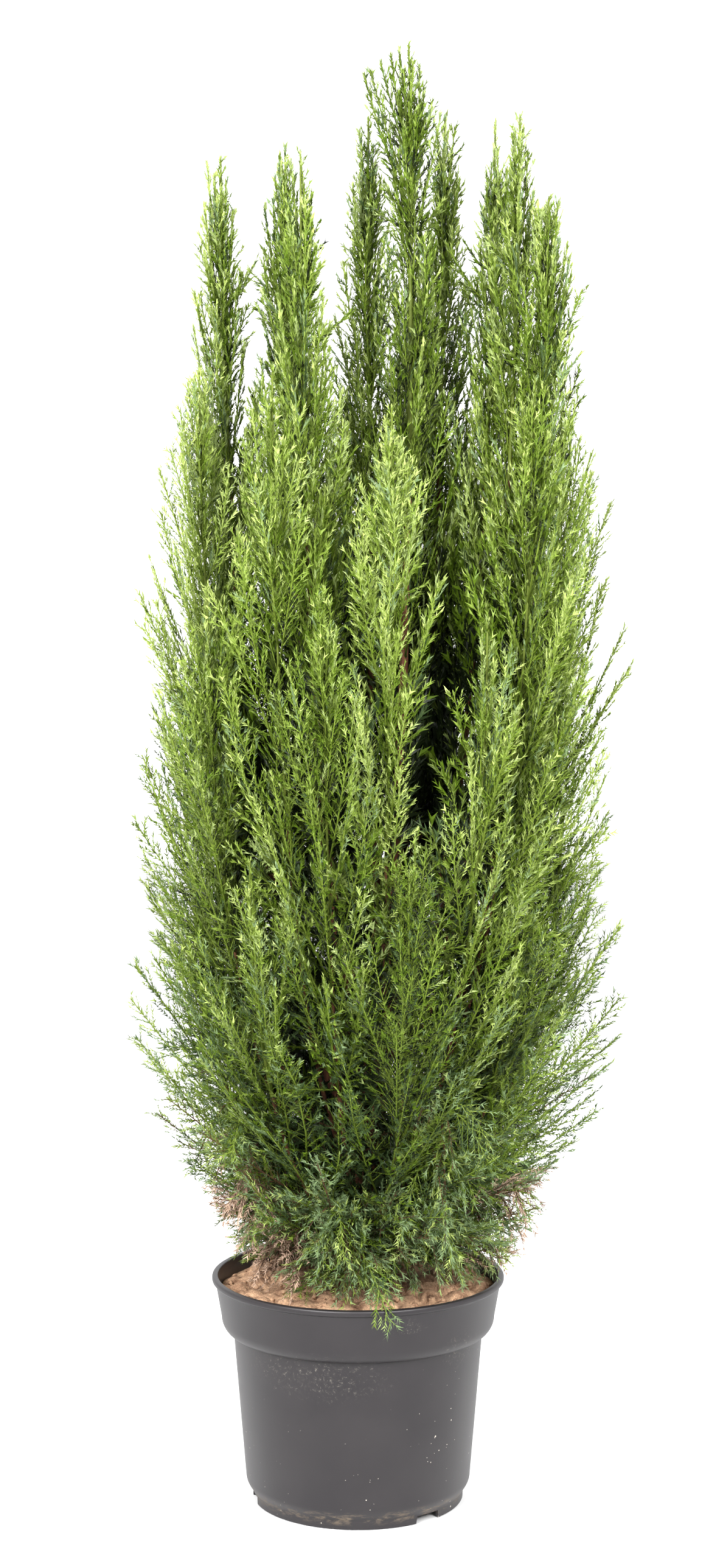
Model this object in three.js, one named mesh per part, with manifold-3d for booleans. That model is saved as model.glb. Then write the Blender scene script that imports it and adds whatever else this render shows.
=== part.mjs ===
// Potted lawson cypress: a moulded nursery pot filled with soil, a short trunk, ten upright boughs, and the
// plumes of foliage that the boughs and the trunk carry. Millimetres, +Z up. The origin is on the floor under
// the pot's axis. The front faces -Y, and +X is to its right.

import * as THREE from 'three';
import { mergeVertices } from 'three/addons/utils/BufferGeometryUtils.js';
import Module from 'manifold-3d';

const wasm = await Module();
wasm.setup();

const DEGREE = Math.PI / 180;
const UP = new THREE.Vector3(0, 0, 1);

// Clearances between neighbours, and the distance within which corners are one
const GAP = 0.3;
const FOLIAGE_MARGIN = 3;
const LIMB_MARGIN = 3;
const POT_MARGIN = 4;
const WELD = 1e-3;
const CLEAN_TOLERANCE = 0.05;

// Pot: a moulded round pot with a foot ring, a plain tapering body and a wide band under the lip
const POT_SIDES = 28;
const POT_HEIGHT = 217;
const POT_WALL = 2.4;
const LIP_RADIUS = 140;
const LIP_HEIGHT = 7;
const LIP_WIDTH = 5.5;
const LIP_ROUND = 2.2;
const BAND_TOP_RADIUS = 136.6;
const BAND_FOOT_RADIUS = 131;
const BAND_FOOT_Z = 178;
const BAND_ROUND_STEPS = 2;
const BODY_TOP_RADIUS = 119.5;
const BODY_TOP_Z = 163;
const BODY_FOOT_RADIUS = 107.4;
const BODY_FOOT_Z = 18;
const FOOT_RADIUS = 101;
const FOOT_WALL = 3.5;
const FOOT_HEIGHT = 8.5;
const FLOOR = 2.5;
const PAD_RADIUS = 52;
const PAD_FLANK = 5;

// Notches in the foot ring, and drain holes in the channel between the ring and the central pad
const NOTCHES = 3;
const NOTCH_TURN = 40.6 * DEGREE;
const NOTCH_WIDTH = 26;
const NOTCH_HEIGHT = 7.2;
const NOTCH_FLARE = 2;
const NOTCH_DEPTH = 21;
const DRAINS = 6;
const DRAIN_RADIUS = 6;
const DRAIN_SIDES = 8;
const DRAIN_CIRCLE = 77;

// Soil: a lumpy mound with a level seat under the trunk
const SOIL_EDGE_Z = 202;
const SOIL_CROWN_Z = 208;
const SOIL_SEAT_RADIUS = 40;
const SOIL_TOP_RINGS = 4;
const SOIL_LUMP = 2.6;
const SOIL_WAVES = [
  { count: 3, turn: 0.7, drift: 0, size: 1 },
  { count: 5, turn: -1.1, drift: 4, size: 0.8 },
  { count: 8, turn: 0, drift: 0, size: 0.6 },
];

// Trunk: a leaning stem with a lobed root flare, which ends where it enters the tallest plume
const TRUNK_SIDES = 12;
const TRUNK_RINGS = 12;
const TRUNK_FOOT_Z = SOIL_CROWN_Z + GAP;
const TRUNK_TIP = new THREE.Vector3(36, 26, 620);
const TRUNK_BOW = new THREE.Vector3(8, 6, 0);
const TRUNK_RADIUS = 19;
const TRUNK_TIP_RADIUS = 7.5;
const TRUNK_RING_CROWDING = 1.5;
const FLARE_RADIUS = 11;
const FLARE_HEIGHT = 16;
const FLARE_LOBES = 5;
const FLARE_LOBE_DEPTH = 0.16;

// Boughs and the bare stems of side plumes
const BOUGH_SIDES = 6;
const BOUGH_RINGS = 7;
const BOUGH_RADIUS = 6.5;
const BOUGH_TIP_RADIUS = 4.5;
const STEM_RADIUS = 4;
const STEM_END_RADIUS = 3.2;
const STEM_TIP_RADIUS = 0.9;

// How a limb leaves the trunk: shares of its spread and of its rise at the two middle points of its curve
const UPRIGHT = { spread: [0.68, 0.99], rise: [0.11, 0.48] };
const ARCHING = { spread: [0.42, 0.82], rise: [0.18, 0.9] };

// Leaders: the tall shoots that make the crown's jagged top. The tallest grows on from the trunk, and each
// of the others is a bough, from a root height on the trunk, that ends in a plume.
const PLANT_TOP = new THREE.Vector3(48, 40, 1383);
const TOP_BOW = new THREE.Vector3(9, -3, 0);
const LEADERS = [
  { name: 'left_back', tip: [-131, 60, 1280], root: 350 },
  { name: 'left', tip: [-68, 6, 1282], root: 450 },
  { name: 'left_front', tip: [-52, -74, 1263], root: 410 },
  { name: 'rear_left', tip: [-62, 118, 1236], root: 385 },
  { name: 'rear', tip: [10, 100, 1324], root: 470 },
  { name: 'rear_far', tip: [60, 156, 1204], root: 340 },
  { name: 'rear_right', tip: [84, 94, 1326], root: 430 },
  { name: 'right', tip: [130, 44, 1310], root: 400 },
  { name: 'right_front', tip: [150, -12, 1307], root: 360 },
  { name: 'right_low', tip: [174, -56, 1226], root: 322 },
];
const LEADER_LEAFY_Z = 660;
const LEADER_FOLIAGE = { whorls: 13, spray: 84, angle: 34, finish: 'foliage' };

// Rings of side plumes, from the highest to the lowest. Turns run from the front towards the right. Reach is
// sideways and to the front, leafyFrom is the bare share of the stem, and angle is in degrees.
const RINGS = [
  {
    name: 'upper', turn: 8, reach: [172, 150], tip: 1062, root: 290,
    form: UPRIGHT, leafyFrom: 0.46, whorls: 10, spray: 100, angle: 36, finish: 'foliage',
  },
  {
    name: 'middle', turn: 30.5, reach: [180, 168], tip: 862, root: 266,
    form: UPRIGHT, leafyFrom: 0.32, whorls: 10, spray: 112, angle: 40, finish: 'foliage',
  },
  {
    name: 'lower', turn: 8, reach: [176, 166], tip: 634, root: 243,
    form: UPRIGHT, leafyFrom: 0.15, whorls: 10, spray: 115, angle: 46, finish: 'foliage_low',
  },
  {
    name: 'skirt', turn: 30.5, reach: [158, 146], tip: 400, root: 220,
    form: ARCHING, leafyFrom: 0.22, whorls: 8, spray: 115, angle: 50, finish: 'foliage_low',
  },
];
const RING_COUNT = 8;
const RING_TURN_JITTER = 4;
const RING_REACH_JITTER = 0.06;
const RING_TIP_JITTER = 34;
const RING_ROOT_STEP = 1.8;
const RING_ROOT_STRIDE = 3;

// Every other skirt plume hangs lower and reaches less far
const SKIRT_DIP = 96;
const SKIRT_TUCK = 0.2;

// The crown's reach from its upright centre line, at heights above the floor
const CROWN_CENTRE = new THREE.Vector2(18, 4);
const CROWN_OUTLINE = [
  [215, 125], [300, 165], [370, 215], [450, 236], [900, 238], [1080, 212], [1220, 190], [1383, 185],
];

// Foliage: whorls of sprays along a slim core. Each spray is a keeled blade that stands out and up.
const PLUME_SIDES = 6;
const PLUME_TWIST = 0.5;
const BARE_RINGS = 3;
const CORE_RADIUS = 17;
const CORE_SHARE = 0.3;
const CORE_SWELL = 5;
const SPRAY_ANGLE_TIP = 18;
const SPRAY_ANGLE_JITTER = 8;
const SPRAY_LENGTH_JITTER = 0.2;
const SPRAY_TURN_JITTER = 0.3;
const SPRAY_TAPER = 0.85;
const SPRAY_SHRINK = [1, 0.88, 0.76, 0.64, 0.52, 0.4, 0.28, 0.16];
const SPRAY_CHECKS = [1, 0.86, 0.72, 0.58, 0.44, 0.3];
const GOLDEN_SHARE = 0.618034;
const AXIS_STEPS = 24;
const HALVINGS = 30;

// Seeds, and the numbers of the seeded rule
const LAYOUT_SEED = 2026;
const PLUME_SEED = 7162;
const ROLL_FACTOR = 1664525;
const ROLL_SHIFT = 1013904223;
const ROLL_SPAN = 2 ** 32;

// Finishes
const FINISHES = {
  pot: new THREE.MeshStandardMaterial({ color: 0x55545a, roughness: 0.6, metalness: 0 }),
  soil: new THREE.MeshStandardMaterial({ color: 0x9c8069, roughness: 1, metalness: 0 }),
  bark: new THREE.MeshStandardMaterial({ color: 0x7a4a35, roughness: 0.9, metalness: 0 }),
  foliage: new THREE.MeshStandardMaterial({ color: 0x5c8a3a, roughness: 0.75, metalness: 0 }),
  foliage_low: new THREE.MeshStandardMaterial({ color: 0x6f9a86, roughness: 0.75, metalness: 0 }),
};

// A repeatable row of numbers from 0 to 1
function seededRolls(seed) {
  let state = seed;
  return () => {
    state = (state * ROLL_FACTOR + ROLL_SHIFT) % ROLL_SPAN;
    return state / ROLL_SPAN;
  };
}

// A seeded number from -1 to 1
function swing(roll) {
  return 2 * roll() - 1;
}

// A closed geometry with shared corners and no collapsed triangles, its faces pointing out
function welded(geometry) {
  const bare = geometry.clone();
  bare.deleteAttribute('normal');
  bare.deleteAttribute('uv');
  const merged = mergeVertices(bare, WELD);
  const corners = merged.index.array;
  const kept = [];
  for (let i = 0; i < corners.length; i += 3) {
    const [a, b, c] = [corners[i], corners[i + 1], corners[i + 2]];
    if (a !== b && b !== c && c !== a) kept.push(a, b, c);
  }
  merged.setIndex(kept);
  return facingOut(merged);
}

// Turns every triangle over where the body encloses a negative volume
function facingOut(geometry) {
  const points = geometry.attributes.position;
  const corners = Array.from(geometry.index.array);
  const [a, b, c] = [new THREE.Vector3(), new THREE.Vector3(), new THREE.Vector3()];
  let volume = 0;
  for (let i = 0; i < corners.length; i += 3) {
    a.fromBufferAttribute(points, corners[i]);
    b.fromBufferAttribute(points, corners[i + 1]);
    c.fromBufferAttribute(points, corners[i + 2]);
    volume += a.dot(b.cross(c));
  }
  if (volume < 0) {
    for (let i = 0; i < corners.length; i += 3) {
      [corners[i], corners[i + 1]] = [corners[i + 1], corners[i]];
    }
    geometry.setIndex(corners);
  }
  return geometry;
}

// An indexed geometry from points and triangles
function meshOf(points, triangles) {
  const geometry = new THREE.BufferGeometry();
  const flat = points.flatMap((point) => [point.x, point.y, point.z]);
  geometry.setAttribute('position', new THREE.Float32BufferAttribute(flat, 3));
  geometry.setIndex(triangles);
  return facingOut(geometry);
}

function toSolid(geometry) {
  const mesh = new wasm.Mesh({
    numProp: 3,
    vertProperties: Float32Array.from(geometry.attributes.position.array),
    triVerts: Uint32Array.from(geometry.index.array),
  });
  return new wasm.Manifold(mesh);
}

// The welded geometry of a solid's largest piece: loose scraps are dropped and sealed hollows filled
function largestPiece(solid) {
  const pieces = solid.decompose();
  const mesh = pieces.reduce((best, piece) => (piece.volume() > best.volume() ? piece : best)).getMesh();
  const geometry = new THREE.BufferGeometry();
  geometry.setAttribute('position', new THREE.BufferAttribute(Float32Array.from(mesh.vertProperties), 3));
  geometry.setIndex(Array.from(mesh.triVerts));
  return welded(geometry);
}

// A solid as one clean body: welding may part a thin neck, so the largest piece is taken once more
function fromSolid(solid) {
  return largestPiece(toSolid(largestPiece(solid.simplify(CLEAN_TOLERANCE))));
}

// Pot

// Points of a quarter round from straight down to straight out, about a centre
function quarterRound(centreRadius, centreZ, radius, height, steps) {
  return Array.from({ length: steps + 1 }, (_, i) => {
    const angle = (-0.5 + (0.5 * i) / steps) * Math.PI;
    return [centreRadius + radius * Math.cos(angle), centreZ + height * Math.sin(angle)];
  });
}

// The pot's inner wall from the lip to the middle of the floor, moved in by a clearance
function innerProfile(clear) {
  const wall = POT_WALL + clear;
  const floorZ = FLOOR + clear;
  const shoulder = quarterRound(BODY_TOP_RADIUS - wall, BAND_FOOT_Z, BAND_FOOT_RADIUS - BODY_TOP_RADIUS,
    BAND_FOOT_Z - BODY_TOP_Z, BAND_ROUND_STEPS);
  return [
    ...shoulder.reverse(),
    [BODY_FOOT_RADIUS - wall, BODY_FOOT_Z],
    [FOOT_RADIUS - wall, FOOT_HEIGHT + floorZ],
    [PAD_RADIUS + PAD_FLANK, FOOT_HEIGHT + floorZ],
    [PAD_RADIUS - POT_WALL, floorZ],
    [0, floorZ],
  ];
}

function revolved(profile) {
  const points = profile.map(([radius, z]) => new THREE.Vector2(radius, z));
  return new THREE.LatheGeometry(points, POT_SIDES).rotateX(Math.PI / 2);
}

function potGeometry() {
  const lipFoot = POT_HEIGHT - LIP_HEIGHT;
  const shoulder = quarterRound(BODY_TOP_RADIUS, BAND_FOOT_Z, BAND_FOOT_RADIUS - BODY_TOP_RADIUS,
    BAND_FOOT_Z - BODY_TOP_Z, BAND_ROUND_STEPS);
  const outer = [
    [0, 0],
    [PAD_RADIUS, 0],
    [PAD_RADIUS + PAD_FLANK, FOOT_HEIGHT],
    [FOOT_RADIUS - FOOT_WALL, FOOT_HEIGHT],
    [FOOT_RADIUS - FOOT_WALL, 0],
    [FOOT_RADIUS, 0],
    [FOOT_RADIUS, FOOT_HEIGHT],
    [BODY_FOOT_RADIUS, BODY_FOOT_Z],
    ...shoulder,
    [BAND_TOP_RADIUS, lipFoot],
    [LIP_RADIUS, lipFoot + LIP_ROUND],
    [LIP_RADIUS, POT_HEIGHT - LIP_ROUND],
    [LIP_RADIUS - LIP_ROUND, POT_HEIGHT],
    [LIP_RADIUS - LIP_WIDTH, POT_HEIGHT],
    [BAND_TOP_RADIUS - POT_WALL, lipFoot],
  ];
  let pot = toSolid(welded(revolved([...outer, ...innerProfile(0)])));

  const slot = new THREE.Shape([
    new THREE.Vector2(-NOTCH_WIDTH / 2 - NOTCH_FLARE, -FOOT_HEIGHT),
    new THREE.Vector2(NOTCH_WIDTH / 2 + NOTCH_FLARE, -FOOT_HEIGHT),
    new THREE.Vector2(NOTCH_WIDTH / 2, NOTCH_HEIGHT),
    new THREE.Vector2(-NOTCH_WIDTH / 2, NOTCH_HEIGHT),
  ]);
  for (let i = 0; i < NOTCHES; i += 1) {
    const cutter = new THREE.ExtrudeGeometry(slot, { depth: NOTCH_DEPTH, bevelEnabled: false });
    cutter.rotateX(Math.PI / 2).translate(0, NOTCH_DEPTH / 2 - FOOT_RADIUS, 0);
    cutter.rotateZ(NOTCH_TURN + (i * 2 * Math.PI) / NOTCHES);
    pot = pot.subtract(toSolid(welded(cutter)));
  }
  for (let i = 0; i < DRAINS; i += 1) {
    const cutter = new THREE.CylinderGeometry(DRAIN_RADIUS, DRAIN_RADIUS, 2 * FOOT_HEIGHT, DRAIN_SIDES);
    cutter.rotateX(Math.PI / 2).translate(DRAIN_CIRCLE, 0, FOOT_HEIGHT + FLOOR / 2);
    cutter.rotateZ((i * 2 * Math.PI) / DRAINS);
    pot = pot.subtract(toSolid(welded(cutter)));
  }
  return fromSolid(pot);
}

// Soil

// Height of the soil at a share of the way from its edge to the trunk's seat, with soft lumps
function soilHeight(share, angle) {
  const mound = SOIL_EDGE_Z + (SOIL_CROWN_Z - SOIL_EDGE_Z) * Math.sin(0.5 * Math.PI * share);
  const lumps = SOIL_WAVES.reduce((sum, wave) => (
    sum + wave.size * Math.sin(wave.count * angle + wave.turn + wave.drift * share)), 0);
  return mound + SOIL_LUMP * lumps * Math.sin(Math.PI * share);
}

function soilGeometry() {
  const wallRadius = BAND_FOOT_RADIUS - POT_WALL - GAP;
  const wallSlope = (BAND_TOP_RADIUS - BAND_FOOT_RADIUS) / (POT_HEIGHT - LIP_HEIGHT - BAND_FOOT_Z);
  const edgeRadius = wallRadius + wallSlope * (SOIL_EDGE_Z - BAND_FOOT_Z);
  const shares = evenShares(0, 1, SOIL_TOP_RINGS).reverse();
  const rings = shares.map((share) => [edgeRadius + (SOIL_SEAT_RADIUS - edgeRadius) * share, SOIL_EDGE_Z]);
  const profile = [[0, SOIL_CROWN_Z], ...rings, ...innerProfile(GAP)];
  const geometry = revolved(profile);
  const points = geometry.attributes.position;
  for (let i = 0; i < points.count; i += 1) {
    const share = shares[(i % profile.length) - 1];
    if (share !== undefined) {
      points.setZ(i, soilHeight(share, Math.atan2(points.getY(i), points.getX(i))));
    }
  }
  return welded(geometry);
}

// Limbs

const trunkThird = new THREE.Vector3(0, 0, (TRUNK_TIP.z - TRUNK_FOOT_Z) / 3);
const trunkFoot = new THREE.Vector3(0, 0, TRUNK_FOOT_Z);
const trunkCurve = new THREE.CubicBezierCurve3(
  trunkFoot,
  trunkFoot.clone().add(trunkThird),
  TRUNK_TIP.clone().sub(TRUNK_BOW).sub(trunkThird),
  TRUNK_TIP,
);

// The trunk's centre at a height
function trunkAt(z) {
  return trunkCurve.getPoint((z - TRUNK_FOOT_Z) / (TRUNK_TIP.z - TRUNK_FOOT_Z));
}

function trunkRadius(share, angle) {
  const height = share * (TRUNK_TIP.z - TRUNK_FOOT_Z);
  const flare = Math.exp(-height / FLARE_HEIGHT);
  const lobes = 1 + FLARE_LOBE_DEPTH * flare * Math.cos(FLARE_LOBES * angle);
  return (TRUNK_RADIUS + (TRUNK_TIP_RADIUS - TRUNK_RADIUS) * share + FLARE_RADIUS * flare) * lobes;
}

// The point, direction and two cross directions of a limb at a share of its length
function frameAt(limb, share) {
  const point = limb.curve.getPointAt(share);
  const along = limb.curve.getTangentAt(share);
  const out = new THREE.Vector3().crossVectors(limb.side, along).normalize();
  return { point, along, out, side: limb.side };
}

// A point beside a limb: out from its centre line at a bearing, and on along it
function beside(frame, bearing, reach, rise) {
  return frame.point.clone()
    .addScaledVector(frame.along, rise)
    .addScaledVector(frame.out, reach * Math.cos(bearing))
    .addScaledVector(frame.side, reach * Math.sin(bearing));
}

// Triangles that close the first and last rings of a limb
function endCaps(rings, sides) {
  const last = (rings - 1) * sides;
  const fan = Array.from({ length: sides - 2 }, (_, i) => [i + 1, i + 2]);
  return fan.flatMap(([near, far]) => [0, far, near, last, last + near, last + far]);
}

// A closed limb of round section along part of a curve, with a radius for each share and angle
function sweptLimb(limb, shares, sides, radiusAt) {
  const points = [];
  const triangles = [];
  for (const share of shares) {
    const frame = frameAt(limb, share);
    for (let i = 0; i < sides; i += 1) {
      const angle = (i * 2 * Math.PI) / sides;
      points.push(beside(frame, angle, radiusAt(share, angle), 0));
    }
  }
  for (let ring = 0; ring + 1 < shares.length; ring += 1) {
    for (let i = 0; i < sides; i += 1) {
      const [a, b] = [ring * sides + i, ring * sides + ((i + 1) % sides)];
      triangles.push(a, b, b + sides, a, b + sides, a + sides);
    }
  }
  return meshOf(points, [...triangles, ...endCaps(shares.length, sides)]);
}

function evenShares(from, to, count) {
  return Array.from({ length: count }, (_, i) => Math.min(to, from + ((to - from) * i) / (count - 1)));
}

// A limb that leaves the trunk at a height and rises to a tip, in one upright plane
function limbTo(name, tip, rootZ, form) {
  const root = trunkAt(rootZ);
  const spread = new THREE.Vector3(tip.x - root.x, tip.y - root.y, 0);
  const rise = tip.z - root.z;
  const middles = [0, 1].map((i) => root.clone()
    .addScaledVector(spread, form.spread[i])
    .addScaledVector(UP, form.rise[i] * rise));
  const curve = new THREE.CubicBezierCurve3(root, middles[0], middles[1], tip);
  const side = new THREE.Vector3().crossVectors(UP, spread).normalize();
  return { name, curve, side };
}

// The share of a limb's length at which it reaches a height
function shareAtHeight(limb, z) {
  let [low, high] = [0, 1];
  for (let i = 0; i < HALVINGS; i += 1) {
    const middle = (low + high) / 2;
    if (limb.curve.getPointAt(middle).z < z) low = middle;
    else high = middle;
  }
  return low;
}

// The tallest shoot, which grows on from the trunk's tip
function topLimb() {
  const start = TRUNK_TIP.clone().addScaledVector(trunkCurve.getTangent(1), GAP);
  const middles = [1 / 3, 2 / 3].map((share) => TRUNK_TIP.clone().lerp(PLANT_TOP, share).add(TOP_BOW));
  const curve = new THREE.CubicBezierCurve3(start, ...middles, PLANT_TOP);
  return { ...LEADER_FOLIAGE, name: 'top', curve, side: new THREE.Vector3(0, 1, 0), leafyFrom: 0 };
}

function leaderLimbs() {
  return LEADERS.map((leader) => {
    const limb = limbTo(leader.name, new THREE.Vector3(...leader.tip), leader.root, UPRIGHT);
    const boughEnd = shareAtHeight(limb, LEADER_LEAFY_Z);
    return { ...LEADER_FOLIAGE, ...limb, boughEnd, leafyFrom: boughEnd + GAP / limb.curve.getLength() };
  });
}

function ringLimbs() {
  const roll = seededRolls(LAYOUT_SEED);
  return RINGS.flatMap((ring) => Array.from({ length: RING_COUNT }, (_, i) => {
    const turn = (ring.turn + (360 / RING_COUNT) * i + RING_TURN_JITTER * swing(roll)) * DEGREE;
    const low = ring.form === ARCHING ? i % 2 : 0;
    const spread = (1 + RING_REACH_JITTER * swing(roll)) * (1 - SKIRT_TUCK * low);
    const tip = new THREE.Vector3(
      CROWN_CENTRE.x + ring.reach[0] * spread * Math.sin(turn),
      CROWN_CENTRE.y - ring.reach[1] * spread * Math.cos(turn),
      ring.tip - SKIRT_DIP * low + RING_TIP_JITTER * swing(roll),
    );
    const rootZ = ring.root + RING_ROOT_STEP * ((i * RING_ROOT_STRIDE) % RING_COUNT);
    return { ...ring, ...limbTo(`${ring.name}_${i + 1}`, tip, rootZ, ring.form), rooted: true };
  }));
}

// Space that each plume keeps to

// Distance from a point to a limb, along short straight steps
function distanceTo(steps, point) {
  const nearest = new THREE.Vector3();
  return Math.min(...steps.map((step) => step.closestPointToPoint(point, true, nearest).distanceTo(point)));
}

function axisSteps(limb, from, to) {
  const points = evenShares(from, to, AXIS_STEPS + 1).map((share) => limb.curve.getPointAt(share));
  return points.slice(1).map((point, i) => new THREE.Line3(points[i], point));
}

// True where a point is clear of the soil, the pot and everything that stands near it
function clearOfPot(point) {
  const radius = Math.hypot(point.x, point.y);
  if (radius > LIP_RADIUS + POT_MARGIN) return point.z > BAND_FOOT_Z;
  return point.z > POT_HEIGHT + POT_MARGIN;
}

// The crown's reach from its centre line at a height
function crownReach(z) {
  const above = CROWN_OUTLINE.findIndex(([height]) => height > z);
  if (above < 1) return above < 0 ? 0 : CROWN_OUTLINE[0][1];
  const [[lowZ, lowReach], [highZ, highReach]] = CROWN_OUTLINE.slice(above - 1, above + 1);
  return lowReach + ((highReach - lowReach) * (z - lowZ)) / (highZ - lowZ);
}

// True where a point is in the crown, clear of every limb, and nearer to its own plume than to any other
function inOwnSpace(plume, point, plumes) {
  if (!clearOfPot(point)) return false;
  if (Math.hypot(point.x - CROWN_CENTRE.x, point.y - CROWN_CENTRE.y) > crownReach(point.z)) return false;
  if (distanceTo(trunkSteps, point) < TRUNK_RADIUS + LIMB_MARGIN) return false;
  const own = distanceTo(plume.leafySteps, point);
  return plumes.every((other) => other === plume || (
    distanceTo(other.bareSteps, point) > BOUGH_RADIUS + LIMB_MARGIN
    && distanceTo(other.leafySteps, point) > own + FOLIAGE_MARGIN));
}

// Foliage

// The stem's radius at a share of its length, swelling to a slim core where it bears foliage
function stemRadius(plume, share, room) {
  if (share < plume.leafyFrom) {
    return STEM_RADIUS + ((STEM_END_RADIUS - STEM_RADIUS) * share) / plume.leafyFrom;
  }
  const leafy = (share - plume.leafyFrom) / (1 - plume.leafyFrom);
  const swell = CORE_RADIUS * Math.min(1, CORE_SWELL * leafy) * Math.sqrt(Math.max(0, 1 - leafy));
  const plain = STEM_END_RADIUS + (STEM_TIP_RADIUS - STEM_END_RADIUS) * leafy;
  return Math.max(plain, Math.min(swell, CORE_SHARE * room));
}

// Distance from a plume's stem to the nearest other limb
function roomAt(plume, share, plumes) {
  const point = plume.curve.getPointAt(share);
  const others = plumes.filter((other) => other !== plume);
  const limbs = [trunkSteps, ...others.flatMap((other) => [other.bareSteps, other.leafySteps])];
  return Math.min(...limbs.map((steps) => distanceTo(steps, point)));
}

// The tip of a spray that grows from a face of the core, drawn in until the spray keeps to its space
function sprayTip(frame, bearing, radius, lean, length, base, fits) {
  const tips = SPRAY_SHRINK.map((shrink) => beside(
    frame,
    bearing,
    radius + shrink * length * Math.sin(lean),
    shrink * length * Math.cos(lean),
  ));
  const clear = (tip) => base.every((corner) => (
    SPRAY_CHECKS.every((part) => fits(corner.clone().lerp(tip, part)))));
  return tips.find(clear) ?? beside(frame, bearing, radius, 0);
}

// A plume: rings of corners along the stem, with a spray drawn out of every face of the leafy part
function plumeGeometry(plume, index, plumes) {
  const roll = seededRolls(PLUME_SEED + index);
  const fits = (point) => inOwnSpace(plume, point, plumes);
  const bare = plume.rooted ? evenShares(0, plume.leafyFrom, BARE_RINGS + 1).slice(0, -1) : [];
  const shares = [...bare, ...evenShares(plume.leafyFrom, 1, plume.whorls + 1)];
  const radii = shares.map((share) => stemRadius(plume, share, roomAt(plume, share, plumes)));
  const step = (2 * Math.PI) / PLUME_SIDES;
  const twist = (ring) => PLUME_TWIST * (((ring + index) * GOLDEN_SHARE) % 1);
  const points = shares.flatMap((share, ring) => {
    const frame = frameAt(plume, share);
    const bearings = Array.from({ length: PLUME_SIDES }, (_, i) => (i + twist(ring)) * step);
    return bearings.map((bearing) => beside(frame, bearing, radii[ring], 0));
  });
  const triangles = endCaps(shares.length, PLUME_SIDES);
  for (let ring = 0; ring + 1 < shares.length; ring += 1) {
    const middle = (shares[ring] + shares[ring + 1]) / 2;
    const leafy = (middle - plume.leafyFrom) / (1 - plume.leafyFrom);
    const frame = frameAt(plume, middle);
    for (let i = 0; i < PLUME_SIDES; i += 1) {
      const [a, b] = [ring * PLUME_SIDES + i, ring * PLUME_SIDES + ((i + 1) % PLUME_SIDES)];
      const [c, d] = [b + PLUME_SIDES, a + PLUME_SIDES];
      if (leafy < 0) {
        triangles.push(a, b, c, a, c, d);
      } else {
        const bearing = (i + 0.5 + twist(ring) + SPRAY_TURN_JITTER * swing(roll)) * step;
        const lean = plume.angle + (SPRAY_ANGLE_TIP - plume.angle) * leafy + SPRAY_ANGLE_JITTER * swing(roll);
        const length = plume.spray * (1 - SPRAY_TAPER * leafy ** 2) * (1 + SPRAY_LENGTH_JITTER * swing(roll));
        const base = [beside(frame, bearing, radii[ring], 0), points[a], points[c]];
        const tip = points.push(sprayTip(frame, bearing, radii[ring], lean * DEGREE, length, base, fits)) - 1;
        triangles.push(a, b, tip, b, c, tip, c, d, tip, d, a, tip);
      }
    }
  }
  const solid = toSolid(meshOf(points, triangles));
  return fromSolid(plume.rooted ? solid.subtract(grownTrunk) : solid);
}

// Assembly

const trunkLimb = { curve: trunkCurve, side: new THREE.Vector3(0, 1, 0) };
const trunkSteps = axisSteps(trunkLimb, 0, 1);

// The trunk's geometry, grown by a clearance. Its rings crowd towards the root flare.
function trunkGeometry(clear) {
  const shares = evenShares(0, 1, TRUNK_RINGS).map((share) => share ** TRUNK_RING_CROWDING);
  return sweptLimb(trunkLimb, shares, TRUNK_SIDES, (share, angle) => trunkRadius(share, angle) + clear);
}
const grownTrunk = toSolid(trunkGeometry(GAP));

function boughGeometry(limb) {
  const radiusAt = (share) => BOUGH_RADIUS + (BOUGH_TIP_RADIUS - BOUGH_RADIUS) * (share / limb.boughEnd);
  const bough = sweptLimb(limb, evenShares(0, limb.boughEnd, BOUGH_RINGS), BOUGH_SIDES, radiusAt);
  return fromSolid(toSolid(bough).subtract(grownTrunk));
}

function addNode(group, name, geometry, finish) {
  const mesh = new THREE.Mesh(geometry, FINISHES[finish]);
  mesh.name = name;
  group.add(mesh);
}

function pottedCypress() {
  const plant = new THREE.Group();
  const leaders = leaderLimbs();
  const plumes = [topLimb(), ...leaders, ...ringLimbs()];
  for (const plume of plumes) {
    plume.leafySteps = axisSteps(plume, plume.leafyFrom, 1);
    plume.bareSteps = plume.leafyFrom > 0 ? axisSteps(plume, 0, plume.leafyFrom) : [];
  }
  addNode(plant, 'pot', potGeometry(), 'pot');
  addNode(plant, 'soil', soilGeometry(), 'soil');
  addNode(plant, 'trunk', trunkGeometry(0), 'bark');
  for (const limb of leaders) {
    addNode(plant, `bough_${limb.name}`, boughGeometry(limb), 'bark');
  }
  plumes.forEach((plume, index) => {
    addNode(plant, `plume_${plume.name}`, plumeGeometry(plume, index, plumes), plume.finish);
  });
  return plant;
}

export default pottedCypress();
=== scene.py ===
# Potted lawson cypress: the looks of the plant, its soil and its pot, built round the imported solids.
# Lengths are in millimetres until a mesh is made. +Z is up, the front faces -Y, and +X is to its right.

import math

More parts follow.
